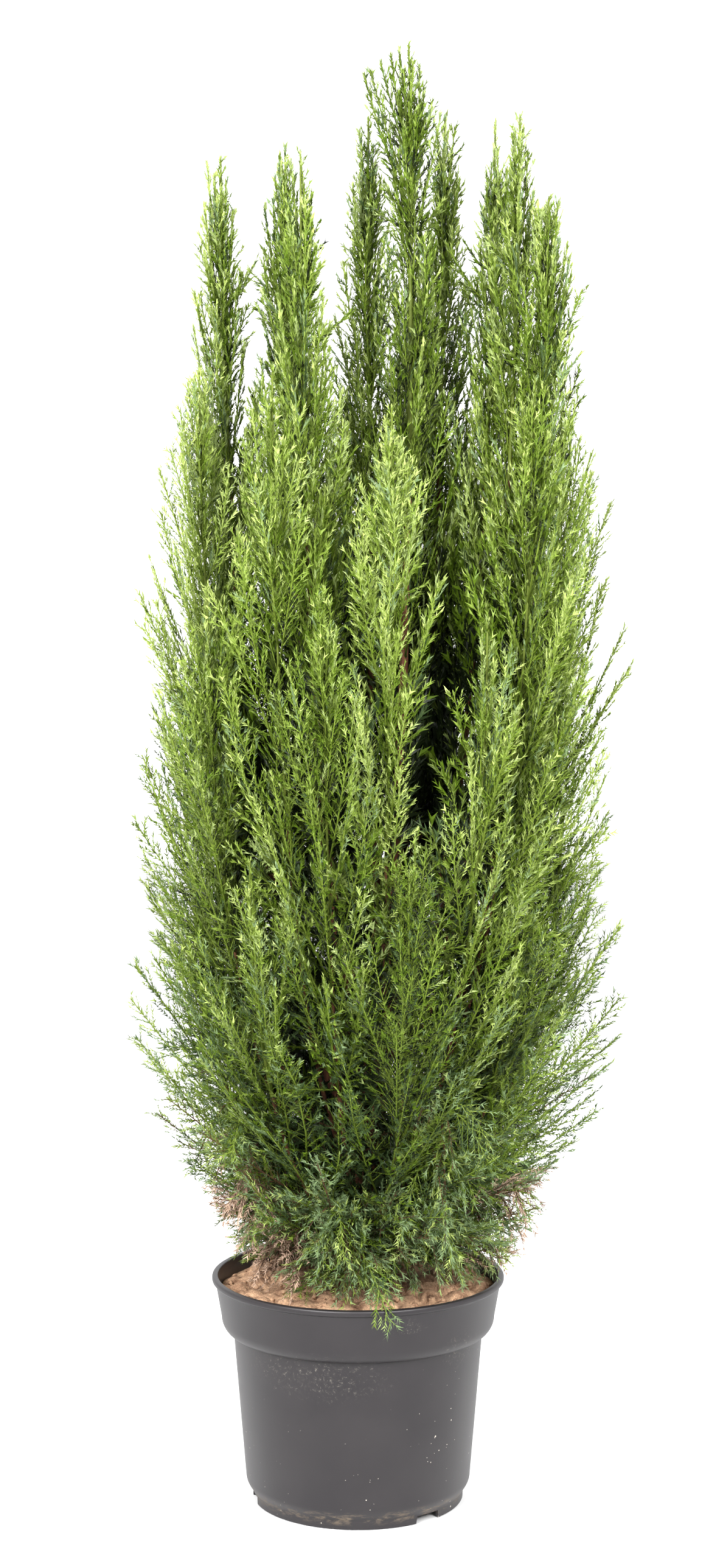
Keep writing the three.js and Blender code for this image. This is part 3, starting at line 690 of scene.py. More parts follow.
def dry_loam():
    """Dry loam, crumbled by hand: matt tan clods, mottled with darker, redder patches."""
    material, tree, shader = new_material("loam_dry_crumbled", {"Roughness": 0.95, "Specular IOR Level": 0.2})
    place = add_node(tree, "TexCoord").outputs["Object"]
    cloud = add_node(tree, "TexNoise", {"Scale": per_metre(LOAM_CLOUD), "Detail": 6, "Roughness": 0.65},
                     {"Vector": place})
    tan = add_node(tree, "ValToRGB", {"stops": [(0.34, "#7d5c47"), (0.64, "#dab28f")]}, {"Fac": cloud})
    grit = add_node(tree, "TexNoise", {"Scale": per_metre(LOAM_GRIT), "Detail": 3}, {"Vector": place})
    contrast = {"From Min": 0.35, "From Max": 0.65, "To Min": 0.72, "To Max": 1.12}
    grain = add_node(tree, "MapRange", contrast, {0: grit})
    colour = add_node(tree, "VectorMath", {"operation": "SCALE"}, {0: tan, "Scale": grain})
    bump = add_node(tree, "Bump", {"Strength": 0.7, "Distance": 1.2 * MM}, {"Height": grit})
    link_inputs(tree, shader, {"Base Color": colour, "Normal": bump})
    return material


def cypress_bark():
    """Cypress bark, grown in thin fibrous strips: red-brown, greyer on the ridges, and quite matt."""
    settings = {"Roughness": 0.85, "Specular IOR Level": 0.25}
    material, tree, shader = new_material("cypress_bark_fibrous", settings)
    place = add_node(tree, "TexCoord").outputs["Object"]
    tall = add_node(tree, "Mapping", {"Scale": (1, 1, 0.12)}, {"Vector": place})
    strip = add_node(tree, "TexNoise", {"Scale": per_metre(BARK_STRIP), "Detail": 5, "Roughness": 0.65},
                     {"Vector": tall})
    colour = add_node(tree, "ValToRGB", {"stops": [(0.34, "#341d13"), (0.68, "#6d4630")]}, {"Fac": strip})
    bump = add_node(tree, "Bump", {"Strength": 0.6, "Distance": 0.8 * MM}, {"Height": strip})
    link_inputs(tree, shader, {"Base Color": colour, "Normal": bump})
    return material


# Limbs, by the solid's rule

def curve_from(corners):
    """A cubic curve from its four corners: points, directions, and the share of its length at each."""
    t = np.linspace(0, 1, CURVE_STEPS + 1)[:, None]
    a, b, c, d = np.asarray(corners, dtype=float)
    points = a * (1 - t) ** 3 + 3 * b * t * (1 - t) ** 2 + 3 * c * t * t * (1 - t) + d * t ** 3
    slopes = (b - a) * (1 - t) ** 2 + 2 * (c - b) * t * (1 - t) + (d - c) * t * t
    reached = np.concatenate([[0], np.cumsum(np.linalg.norm(np.diff(points, axis=0), axis=1))])
    return {"points": points, "along": unit(slopes), "share": reached / reached[-1], "length": reached[-1]}


def on_curve(curve, rows, share):
    """Points or directions of a curve at shares of its length."""
    return np.stack([np.interp(share, curve["share"], curve[rows][:, k]) for k in range(3)], axis=-1)


def on_stem(plume, share):
    """Points on a plume's stem at shares of its length."""
    return on_curve(plume["curve"], "points", share)


def trunk_curve():
    """The trunk, upright at its foot and a little bowed towards its tip."""
    third = UP * (TRUNK_TIP[2] - TRUNK_FOOT_Z) / 3
    foot = UP * TRUNK_FOOT_Z
    return curve_from([foot, foot + third, TRUNK_TIP - TRUNK_BOW - third, TRUNK_TIP])


def limb_to(trunk, name, tip, root_z, form):
    """A limb that leaves the trunk at a height and rises to a tip, in one upright plane."""
    tip = np.asarray(tip, dtype=float)
    root = np.array([np.interp(root_z, trunk["points"][:, 2], trunk["points"][:, k]) for k in range(3)])
    spread = (tip - root) * LEVEL
    rise = UP * (tip[2] - root[2])
    middles = [root + spread * share + rise * height for share, height in form]
    return {"name": name, "curve": curve_from([root, *middles, tip]), "side": unit(np.cross(UP, spread))}


def leader_plumes(trunk):
    """The tall shoots: the one that grows on from the trunk, then those that end the boughs."""
    middles = [TRUNK_TIP + (PLANT_TOP - TRUNK_TIP) * share + TOP_BOW for share in (1 / 3, 2 / 3)]
    curve = curve_from([TRUNK_TIP, *middles, PLANT_TOP])
    top = {"name": "top", "curve": curve, "side": np.array([0.0, 1.0, 0.0]), "leafy_from": 0.0}
    plumes = [{**LEADER_FOLIAGE, **top}]
    for name, tip, root_z in LEADERS:
        limb = limb_to(trunk, name, tip, root_z, UPRIGHT)
        leafy_from = np.interp(LEADER_LEAFY_Z, limb["curve"]["points"][:, 2], limb["curve"]["share"])
        plumes.append({**LEADER_FOLIAGE, **limb, "leafy_from": float(leafy_from)})
    return plumes


def ring_plumes(trunk):
    """The four rings of side plumes, each on a stem of its own from the trunk."""
    roll = seeded_rolls(LAYOUT_SEED)
    plumes = []
    for ring in RINGS:
        for i in range(RING_COUNT):
            turn = math.radians(ring["turn"] + 360 / RING_COUNT * i + RING_TURN_JITTER * roll())
            low = i % 2 if ring["kind"] == "skirt" else 0
            spread = (1 + RING_REACH_JITTER * roll()) * (1 - SKIRT_TUCK * low)
            tip = (CROWN_CENTRE[0] + ring["reach"][0] * spread * math.sin(turn),
                   CROWN_CENTRE[1] - ring["reach"][1] * spread * math.cos(turn),
                   ring["tip"] - SKIRT_DIP * low + RING_TIP_JITTER * roll())
            root_z = ring["root"] + RING_ROOT_STEP * (i * RING_ROOT_STRIDE % RING_COUNT)
            limb = limb_to(trunk, f"{ring['kind']}_{i + 1}", tip, root_z, ring["form"])
            plumes.append({**ring, **limb})
    return plumes


# Sprays, by the solid's rule

def in_reach(tips):
    """True where a spray's tip keeps inside the crown's outline and clear of the pot's rim."""
    reach = np.interp(tips[:, 2], CROWN_OUTLINE_Z, CROWN_OUTLINE_REACH, right=0)
    inside = np.linalg.norm((tips - CROWN_CENTRE) * LEVEL, axis=1) < reach
    over_pot = np.linalg.norm(tips * LEVEL, axis=1) < LIP_RADIUS + RIM_CLEARANCE
    return inside & (tips[:, 2] > np.where(over_pot, POT_HEIGHT + RIM_CLEARANCE, BAND_FOOT_Z))


def longest_in_reach(root, step):
    """The tip of the longest spray along a step from a root that is in reach, or nothing if none is."""
    tips = root + step * np.array(SPRAY_SHRINK)[:, None]
    fits = np.flatnonzero(in_reach(tips))
    return tips[fits[0]] if len(fits) else None


def plume_sprays(plume, index):
    """Root on the stem, foot on the plume's core, full tip, and place up the plume, for each spray of it."""
    roll = seeded_rolls(PLUME_SEED + index)
    bare, band = plume["leafy_from"], (1 - plume["leafy_from"]) / plume["whorls"]
    rows = []
    for whorl in range(plume["whorls"]):
        leafy = (whorl + 0.5) / plume["whorls"]
        point = on_stem(plume, bare + band * (whorl + 0.5))
        along = on_curve(plume["curve"], "along", bare + band * (whorl + 0.5))
        out = unit(np.cross(plume["side"], along))
        low = whorl / plume["whorls"]
        core = CORE_RADIUS * min(1, CORE_SWELL * low) * math.sqrt(1 - low)
        twist = PLUME_TWIST * ((whorl + plume["bare_rings"] + index) * GOLDEN_SHARE % 1)
        for i in range(PLUME_SIDES):
            bearing = (i + 0.5 + twist + SPRAY_TURN_JITTER * roll()) * 2 * math.pi / PLUME_SIDES
            lean = plume["angle"] + (SPRAY_ANGLE_TIP - plume["angle"]) * leafy + SPRAY_ANGLE_JITTER * roll()
            length = plume["spray"] * (1 - SPRAY_TAPER * leafy ** 2) * (1 + SPRAY_LENGTH_JITTER * roll())
            away = out * math.cos(bearing) + plume["side"] * math.sin(bearing)
            foot = point + away * core
            tip = foot + length * (along * math.cos(math.radians(lean)) + away * math.sin(math.radians(lean)))
            start = bare + band * max(0, whorl - SHOOT_STAGGER + i * GOLDEN_SHARE % 1)
            start = max(SHOOTS_FROM * bare, start - SHOOT_RUN / plume["curve"]["length"])
            rows.append((on_stem(plume, start), foot, tip, leafy))
    return columns_of(rows)


def drawn_in(feet, tips, owners, plumes):
    """Each tip moved towards its foot until it is in reach and not far inside another plume's space."""
    shares = np.linspace(0, 1, AXIS_STEPS)
    axes = [on_stem(plume, plume["leafy_from"] + (1 - plume["leafy_from"]) * shares) for plume in plumes]
    axis = np.concatenate(axes)
    axis_owner = np.repeat(np.arange(len(plumes)), AXIS_STEPS)
    settled = feet + (tips - feet) * SPRAY_SHRINK[-1]
    waiting = np.arange(len(tips))
    for shrink in SPRAY_SHRINK:
        trial = feet[waiting] + (tips[waiting] - feet[waiting]) * shrink
        gaps = np.linalg.norm(trial[:, None, :] - axis[None, :, :], axis=2)
        mine = axis_owner[None, :] == owners[waiting][:, None]
        own = np.where(mine, gaps, np.inf).min(axis=1)
        other = np.where(mine, np.inf, gaps).min(axis=1)
        fits = in_reach(trial) & (other > own - NEIGHBOUR_OVERLAP)
        settled[waiting[fits]] = trial[fits]
        waiting = waiting[~fits]
    return settled


def hanging_sprays(plumes, rng):
    """Sprays that arch over and hang from the lowest plumes: root, tip and plume of each."""
    rows = []
    for index, plume in enumerate(plumes):
        if plume["kind"] != "skirt":
            continue
        for i in range(HANGING_COUNT):
            share = plume["leafy_from"] + (1 - plume["leafy_from"]) * (i + 0.5) / HANGING_COUNT
            root = on_stem(plume, share)
            out = unit((plume["curve"]["points"][-1] - plume["curve"]["points"][0]) * LEVEL)
            out = unit(out + plume["side"] * HANGING_SWING * rng.normal())
            tip = longest_in_reach(root, out * rng.uniform(*HANGING_OUT) - UP * rng.uniform(*HANGING_DROP))
            if tip is not None:
                rows.append((root, tip, index))
        if plume["name"] == LIP_SPRAY[0]:
            rows.append((on_stem(plume, LIP_SPRAY[1]), np.array(LIP_SPRAY[2]), index))
    return columns_of(rows)


def inner_sprays(plumes, rng):
    """Short sprays on the bare part of boughs and side stems: root, tip and plume of each."""
    rows = []
    for index, plume in enumerate(plumes):
        bare = plume["leafy_from"] * plume["curve"]["length"]
        count = round(bare * (1 - INNER_FROM) / INNER_STEP)
        for i in range(count):
            share = plume["leafy_from"] * (INNER_FROM + (1 - INNER_FROM) * (i + 0.5) / count)
            root = on_stem(plume, share)
            along = on_curve(plume["curve"], "along", share)
            bearing = 2 * math.pi * (i * GOLDEN_SHARE + BEARING_JITTER * rng.normal())
            away = np.cross(plume["side"], along) * math.cos(bearing) + plume["side"] * math.sin(bearing)
            lean = math.radians(INNER_ANGLE + SPRAY_ANGLE_JITTER * rng.normal())
            length = INNER_SPRAY * rng.uniform(*INNER_SPRAY_JITTER)
            tip = longest_in_reach(root, length * (along * math.cos(lean) + away * math.sin(lean)))
            if tip is not None:
                rows.append((root, tip, index))
    return columns_of(rows)


def fork_sprays(plumes, rng):
    """Shoots that fork from the top of each plume: root, tip and plume of each."""
    top = plumes[0]
    rows = []
    for right, rise in TOP_FORKS:
        drop = abs(right) + TOP_FORK_LENGTH - TOP_FORK_FALL * rise
        root = on_stem(top, 1 - drop / top["curve"]["length"])
        rows.append((root, PLANT_TOP + (right, TOP_FORK_DEPTH * rng.normal(), rise), 0))
    for index, plume in enumerate(plumes):
        length = plume["curve"]["length"]
        for i in range(FORKS[plume["kind"]]):
            drop = rng.uniform(*FORK_DROPS)
            root = on_stem(plume, 1 - max(drop + FORK_LEAST_LENGTH, rng.uniform(*FORK_ROOTS)) / length)
            bearing = 2 * math.pi * (i * GOLDEN_SHARE + BEARING_JITTER * rng.normal())
            reach = FORK_SPREAD_LEAST + FORK_SPREAD * drop * rng.uniform(*FORK_SPREAD_JITTER)
            spread = reach * np.array([math.cos(bearing), math.sin(bearing), 0])
            rows.append((root, on_stem(plume, 1 - drop / length) + spread, index))
    return columns_of(rows)


def terminal_sprays(plumes):
    """The shoot that ends each plume: root, tip and plume of each."""
    rows = []
    for index, plume in enumerate(plumes):
        root = on_stem(plume, 1 - TERMINAL_SHOOT / plume["curve"]["length"])
        rows.append((root, plume["curve"]["points"][-1], index))
    return columns_of(rows)


def depth_at(tips):
    """How far tips stand inside the crown's outline, in millimetres."""
    reach = np.interp(tips[:, 2], CROWN_OUTLINE_Z, CROWN_OUTLINE_REACH)
    return reach - np.linalg.norm((tips - CROWN_CENTRE) * LEVEL, axis=1)


def shade_at(tips):
    """How shaded sprays are: 0 near the crown's outline and among the open leaders, 1 well inside."""
    return np.interp(depth_at(tips), SHADE_DEPTHS, (0, 1)) * np.interp(tips[:, 2], SHADE_OPENS, (1, 0))


def all_sprays(plumes, rng):
    """Every spray of the crown: the solid's own, the hanging and inner ones, the forks, and the shoot that
    ends each plume. Loose ones, away from the crown's outline, thin out."""
    rows = [plume_sprays(plume, index) for index, plume in enumerate(plumes)]
    owners = np.repeat(np.arange(len(plumes)), [len(row[0]) for row in rows])
    roots, feet, tips, leafy = (np.concatenate(column) for column in zip(*rows))
    kinds = {
        "plain": [roots, drawn_in(feet, tips, owners, plumes), owners],
        "hanging": hanging_sprays(plumes, rng),
        "inner": inner_sprays(plumes, rng),
        "fork": fork_sprays(plumes, rng),
        "terminal": terminal_sprays(plumes),
    }
    root, tip, plume = (np.concatenate(column) for column in zip(*kinds.values()))
    kind = np.repeat(list(kinds), [len(rows[2]) for rows in kinds.values()])
    near_tip = np.isin(kind, ["fork", "terminal"]).astype(float)
    near_tip[kind == "plain"] = leafy
    loose = (kind == "plain") * np.interp(depth_at(tip), RIM_DEPTHS, (0, 1))
    tip = tip - (tip - root) * (TIP_SPRAY_STAGGER * near_tip ** 2 * loose * rng.random(len(tip)))[:, None]
    sprays = {
        "root": root,
        "tip": tip,
        "plume": plume,
        "hangs": kind == "hanging",
        "near_tip": near_tip,
        "shade": shade_at(tip),
    }
    lost = loose * (growth_of(sprays, plumes, "lost") + TIP_SPRAY_LOSS * near_tip ** 4)
    kept = rng.random(len(tip)) < (1 - lost) * (1 - SHADE_LOSS * sprays["shade"])
    return {key: rows[kept] for key, rows in sprays.items()}


# Shoots, branchlets and needles

def children(counts):
    """For rows with a count of children each: every child's row, its number, and its place from 0 to 1."""
    parent = np.repeat(np.arange(len(counts)), counts)
    number = np.arange(len(parent)) - np.repeat(np.cumsum(counts) - counts, counts)
    return parent, number, (number + 0.5) / counts[parent]


def growth_of(sprays, plumes, key):
    """One value of the growth table for every spray."""
    return np.array([GROWTH[plume["kind"]][key] for plume in plumes])[sprays["plume"]]


def shape_shoots(sprays, plumes, rng):
    """Adds each shoot's length, the middle point that bends it, and the line its branchlets lie along."""
    root, tip = sprays["root"], sprays["tip"]
    along = unit(tip - root)
    sprays["length"] = np.linalg.norm(tip - root, axis=1)
    arch = growth_of(sprays, plumes, "arch") + HANGING_ARCH * sprays["hangs"]
    arch = arch + ARCH_JITTER * rng.normal(size=len(root))
    outward = unit((tip - CROWN_CENTRE) * LEVEL)
    face = square_to(along, outward + FACE_SCATTER * rng.normal(size=root.shape))
    sprays["across"] = np.cross(along, face)
    sway = SWAY * rng.normal(size=len(root))
    bend = UP * arch[:, None] + sprays["across"] * sway[:, None]
    sprays["bend"] = (root + tip) / 2 + bend * sprays["length"][:, None]


def on_shoots(sprays, parent, t):
    """Points and directions along the sprays' shoots."""
    root, bend, tip = (sprays[key][parent] for key in ("root", "bend", "tip"))
    t = t[:, None]
    points = root * (1 - t) ** 2 + 2 * bend * t * (1 - t) + tip * t ** 2
    return points, unit((bend - root) * (1 - t) + (tip - bend) * t)


def grow_branchlets(sprays, plumes, rng):
    """Branchlets along every shoot, alternately left and right, longest a little way up it."""
    step = growth_of(sprays, plumes, "step") * (1 + (SHADE_SPACING - 1) * sprays["shade"])
    counts = np.maximum(BRANCHLETS_LEAST, np.round(sprays["length"] / step)).astype(int)
    parent, number, t = children(counts)
    t = BRANCHLETS_FROM + (1 - BRANCHLETS_FROM) * t
    start, along = on_shoots(sprays, parent, t)
    across = square_to(along, sprays["across"][parent])
    face = np.cross(across, along)
    side = np.where(number % 2 == 0, 1.0, -1.0)
    roll = np.radians(BRANCHLET_ROLL) * rng.normal(size=len(t))
    away = across * (side * np.cos(roll))[:, None] + face * np.sin(roll)[:, None]
    lean = growth_of(sprays, plumes, "lean")[parent] - BRANCHLET_ANGLE_FALL * t
    lean = np.radians(lean + BRANCHLET_ANGLE_JITTER * rng.normal(size=len(t)))
    feather = np.minimum(1, FEATHER_FOOT + FEATHER_RISE * t) * (1 - t) ** FEATHER_TAPER + FEATHER_TIP
    small = np.minimum(1, SHORT_SHOOT_SHARE + sprays["length"] / FULL_SHOOT)
    small = small * (1 - TIP_BRANCHLET_LOSS * sprays["near_tip"] ** 2)
    length = growth_of(sprays, plumes, "branchlet")[parent] * feather * small[parent]
    length = length * (1 + BRANCHLET_LENGTH_JITTER * rng.normal(size=len(t)))
    return {
        "spray": parent,
        "t": t,
        "start": start,
        "direction": unit(along * np.cos(lean)[:, None] + away * np.sin(lean)[:, None]),
        "curl": along,
        "face": face,
        "length": np.clip(length, *BRANCHLET_LENGTHS),
        "needle_step": growth_of(sprays, plumes, "needle_step")[parent],
    }


def shoot_parts(sprays):
    """The shoots themselves, in straight parts that bear needles, in the same terms as branchlets."""
    parent, number, t = children(np.full(len(sprays["length"]), SHOOT_PARTS))
    start, _ = on_shoots(sprays, parent, number / SHOOT_PARTS)
    end, _ = on_shoots(sprays, parent, (number + 1) / SHOOT_PARTS)
    along = unit(end - start)
    return {
        "spray": parent,
        "t": t,
        "start": start,
        "direction": along,
        "curl": np.zeros_like(start),
        "face": square_to(along, sprays["across"][parent]),
        "length": np.linalg.norm(end - start, axis=1),
        "needle_step": np.interp(sprays["near_tip"][parent], SHOOT_NEEDLES_FROM, SHOOT_NEEDLE_STEPS),
    }


def needle_pairs(twigs, growth, step, rng):
    """Crossed pairs of needles along every twig: four points a pair, each one's twig and place on it."""
    counts = np.maximum(NEEDLE_PAIRS_LEAST, np.round(twigs["length"] / step)).astype(int)
    parent, number, t = children(counts)
    t = 1 - (1 - t) ** TUFT
    curl = twigs["curl"][parent] * BRANCHLET_CURL
    way = twigs["direction"][parent]
    path = way * t[:, None] + curl * (t ** 2)[:, None]
    points = twigs["start"][parent] + path * twigs["length"][parent][:, None]
    along = unit(way + 2 * curl * t[:, None])
    face = square_to(along, twigs["face"][parent])
    turned_out = number % NEEDLE_TURN_EVERY == NEEDLE_TURN_EVERY - 1
    turn = np.where(turned_out, NEEDLE_TURN, 0.0) + NEEDLE_TURN_JITTER * rng.normal(size=len(t))
    away = face * np.sin(turn)[:, None] + np.cross(along, face) * np.cos(turn)[:, None]
    size = growth["needle"][parent] * (NEEDLE_SIZE_FOOT + NEEDLE_SIZE_RISE * t - NEEDLE_SIZE_FALL * t * t)
    size = size * (1 + NEEDLE_SIZE_JITTER * rng.normal(size=len(t)))
    tilt = NEEDLE_TILT * rng.normal(size=len(t))[:, None]
    half = along * np.cos(tilt) + np.cross(along, away) * np.sin(tilt)
    half = half * (size * growth["width"][parent] / 2)[:, None]
    corners = [points - half, points + half]
    for side in (1, -1):
        lean = growth["angle"][parent] - NEEDLE_ANGLE_FALL * t + NEEDLE_ANGLE_JITTER * rng.normal(size=len(t))
        lean = np.radians(lean)
        reach = along * np.cos(lean)[:, None] + side * away * np.sin(lean)[:, None]
        corners.append(points + reach * size[:, None])
    return np.stack(corners, axis=1), parent, t


def withered_sprays(tips, rng):
    """True for sprays that have died back, by chance within the withered patches."""
    withered = np.zeros(len(tips), dtype=bool)
    for side, reach, top, share in WITHERED_PATCHES:
        withered |= (side * tips[:, 0] > reach) & (tips[:, 2] < top) & (rng.random(len(tips)) < share)
    return withered & (np.abs(tips[:, 1] - WITHERED_Y) < WITHERED_DEPTH)


def needle_tones(twigs, sprays, plumes, rng):
    """The state of each twig's needles, and their tone from old and dark to young and light, with painted
    shade darkening the sprays deep inside the crown.
    """
    spray = twigs["spray"]
    tips = sprays["tip"]
    count = len(tips)
    spray_tone = SPRAY_TONE_JITTER * rng.normal(size=count)
    spray_tone += (PLUME_TONE_JITTER * rng.normal(size=len(plumes)))[sprays["plume"]]
    tone = spray_tone[spray] + SHOOT_TONE * (twigs["t"] - 0.5)
    tone += TWIG_TONE_JITTER * rng.normal(size=len(spray))
    # The plume's kind shifts the tone, and sprays deep inside the crown are darkened here as painted shade
    tone += growth_of(sprays, plumes, "tone")[spray] - PAINTED_SHADE_TONE * sprays["shade"][spray]
    waxy = np.interp(tips[:, 2], WAXY_HEIGHTS, WAXY_SHARES) + COAT_JITTER * rng.normal(size=count)
    bloomed = np.interp(tips[:, 2], BLOOMED_HEIGHTS, BLOOMED_SHARES) + COAT_JITTER * rng.normal(size=count)
    withered = withered_sprays(tips, rng)
    chance = rng.random((2, len(spray)))
    state = np.select([withered[spray], chance[0] < waxy[spray], chance[1] < bloomed[spray]],
                      [WITHERED, WAXY, BLOOMED], IN_LEAF)
    return state, tone


def needle_slots(state, tone):
    """The colour of needles by their state and tone."""
    young = tone > YOUNG_TONE
    greens = np.select([tone < DEEP_TONE, tone < GREEN_TONE, tone < FRESH_TONE], [DEEP, GREEN, LIGHT], FRESH)
    return np.select(
        [state == WITHERED, state == WAXY, state == BLOOMED],
        [np.where(young, DEAD_TAN, DEAD), np.where(young, PALE_BLUE, BLUE), np.where(young, PALE_GREY, GREY)],
        greens)


def add_needles(twigs, state, tone, sprays, plumes, rng):
    """The needles, in one piece for each part of the crown. Each pair of needles is two triangles."""
    materials = [living_material(*colour) for colour in NEEDLE_COLOURS]
    shade = sprays["shade"][twigs["spray"]]
    growth = {key: growth_of(sprays, plumes, key)[twigs["spray"]] for key in ("needle", "width", "angle")}
    growth["needle"] = growth["needle"] * (1 + (SHADE_NEEDLE - 1) * shade)
    step = twigs["needle_step"] * (1 + (SHADE_SPACING - 1) * shade)
    corners, twig, t = needle_pairs(twigs, growth, step, rng)
    slots = needle_slots(state[twig], tone[twig] + TIP_TONE * (t - 0.5))
    plume = sprays["plume"][twigs["spray"][twig]]
    groups = {"needles_leaders_left": LEFT_LEADERS, "needles_leaders_right": RIGHT_LEADERS}
    for ring in RINGS:
        groups["needles_" + ring["kind"]] = [f"{ring['kind']}_{i + 1}" for i in range(RING_COUNT)]
    for name, members in groups.items():
        chosen = np.isin(plume, [i for i, p in enumerate(plumes) if p["name"] in members])
        first = np.arange(np.count_nonzero(chosen))[:, None] * 4
        pairs = np.concatenate([first + (0, 1, 2), first + (1, 0, 3)], axis=1).reshape(-1, 3)
        piece = add_piece(name, corners[chosen], pairs, materials, np.repeat(slots[chosen], 2), smooth=False)
        place_piece(piece, ["plume_" + member for member in members])


def add_twigs(branchlets, sprays, state, rng):
    """The shoots as thin tapering tubes, and the branchlets' stalks as slivers."""
    materials = [living_material(*colour) for colour in TWIG_COLOURS]
    count = len(sprays["length"])
    dead = np.zeros(count, dtype=bool)
    dead[branchlets["spray"][state[:len(branchlets["t"])] == WITHERED]] = True
    woody = (sprays["tip"][:, 2] < WOODY_BELOW_Z) & (rng.random(count) < WOODY_SHARE)
    kind = np.select([dead, woody], [DEAD_TWIG, WOODY_TWIG], GREEN_TWIG)

    t = np.linspace(0, 1, SHOOT_PLACES)
    parent = np.repeat(np.arange(count), SHOOT_PLACES)
    paths = on_shoots(sprays, parent, np.tile(t, count))[0].reshape(count, SHOOT_PLACES, 3)
    radius = SHOOT_RADIUS + (SHOOT_TIP_RADIUS - SHOOT_RADIUS) * t
    radius = radius * np.minimum(1, sprays["length"] / SHOOT_THICK_FROM)[:, None]
    points = tube_points(paths, sprays["across"], radius, SHOOT_SIDES)
    triangles = tube_triangles(count, SHOOT_PLACES, SHOOT_SIDES)
    shoots = add_piece("shoots", points, triangles, materials, np.repeat(kind, len(triangles) // count))
    place_piece(shoots)

    start, length = branchlets["start"], branchlets["length"][:, None]
    end = start + (branchlets["direction"] + branchlets["curl"] * BRANCHLET_CURL) * length
    half = np.cross(branchlets["direction"], branchlets["face"]) * BRANCHLET_RADIUS
    stalks = np.stack([start - half, start + half, end], axis=1)
    triangles = np.arange(len(start) * 3).reshape(-1, 3)
    piece = add_piece("branchlets", stalks, triangles, materials, kind[branchlets["spray"]], smooth=False)
    place_piece(piece)


def add_stems(plumes, bark):
    """The plumes' own stems, with bark on the older part and green rind near the tip."""
    t = np.linspace(0, 1, STEM_PLACES)
    paths, radius = [], []
    for plume in plumes:
        start = plume["leafy_from"] if plume["kind"] == "leader" else 0
        paths.append(on_stem(plume, start + (1 - start) * t))
        thick = BOUGH_TIP_RADIUS if plume["kind"] == "leader" else STEM_RADIUS
        thick = TRUNK_TIP_RADIUS if plume["name"] == "top" else thick
        radius.append(thick + (STEM_TIP_RADIUS - thick) * t ** STEM_TAPER)
    hint = np.array([plume["side"] for plume in plumes])
    points = bark_points(np.array(paths), hint, np.array(radius), STEM_SIDES, STEM_RELIEF, STEM_BARK_SEED)
    triangles = tube_triangles(len(plumes), STEM_PLACES, STEM_SIDES)
    height = (triangles.min(axis=1) // STEM_SIDES) % STEM_PLACES
    materials = [bark, living_material(*STEM_RIND)]
    piece = add_piece("plume_stems", points, triangles, materials, height > STEM_RIND_FROM * STEM_PLACES)
    place_piece(piece)


# Trunk and boughs

def add_trunk(trunk, bark):
    """The trunk, with a lobed flare where it meets the soil and bark in long ridges."""
    share = np.linspace(0, 1, TRUNK_PLACES) ** TRUNK_CROWDING
    path = on_curve(trunk, "points", share)
    flare = np.exp(-(path[:, 2] - TRUNK_FOOT_Z) / FLARE_HEIGHT)
    plain = TRUNK_RADIUS + (TRUNK_TIP_RADIUS - TRUNK_RADIUS) * share + FLARE_RADIUS * flare
    lobes = 1 + FLARE_LOBE_DEPTH * flare[:, None] * np.cos(FLARE_LOBES * turns_round(TRUNK_SIDES))
    hint = np.array([[1.0, 0.0, 0.0]])
    points = bark_points(path[None], hint, plain[None], TRUNK_SIDES, TRUNK_RELIEF, TRUNK_BARK_SEED)
    points = path[None, :, None, :] + (points - path[None, :, None, :]) * lobes[None, :, :, None]
    piece = add_piece("trunk_bark", points, tube_triangles(1, TRUNK_PLACES, TRUNK_SIDES), [bark])
    place_piece(piece, ["trunk"])


def add_boughs(plumes, bark):
    """The boughs, from the trunk up to where each enters its plume."""
    t = np.linspace(0, 1, BOUGH_PLACES)
    leaders = [plume for plume in plumes if plume["kind"] == "leader" and plume["name"] != "top"]
    paths = np.array([on_stem(plume, plume["leafy_from"] * t) for plume in leaders])
    radius = np.tile(BOUGH_RADIUS + (BOUGH_TIP_RADIUS - BOUGH_RADIUS) * t, (len(leaders), 1))
    hint = np.array([plume["side"] for plume in leaders])
    points = bark_points(paths, hint, radius, BOUGH_SIDES, BOUGH_RELIEF, BOUGH_BARK_SEED)
    piece = add_piece("bough_bark", points, tube_triangles(len(leaders), BOUGH_PLACES, BOUGH_SIDES), [bark])
    place_piece(piece, [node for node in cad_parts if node.startswith("bough_")])


# Pot

def rounded(corners):
    """A profile whose corners, given with the size of their rounds, become short arcs."""
    points = [corners[0][:2]]
    for before, (radius, z, cut), after in zip(corners, corners[1:], corners[2:]):
        corner = np.array([radius, z])
        into = corner + cut * unit(np.array(before[:2]) - corner)
        out = corner + cut * unit(np.array(after[:2]) - corner)
        for t in (np.linspace(0, 1, EDGE_ROUND_STEPS) if cut else [0]):
            points.append(into * (1 - t) ** 2 + 2 * corner * t * (1 - t) + out * t ** 2)
    points.append(corners[-1][:2])
    return np.array(points)


def shoulder(wall):
    """The quarter round under the band, from the body's top to the band's foot."""
    turns = np.linspace(0, math.pi / 2, BAND_ROUND_STEPS)
    out = BAND_FOOT_RADIUS - BODY_TOP_RADIUS
    rise = BAND_FOOT_Z - BODY_TOP_Z
    return [(BODY_TOP_RADIUS - wall + out * math.sin(a), BAND_FOOT_Z - rise * math.cos(a), 0) for a in turns]


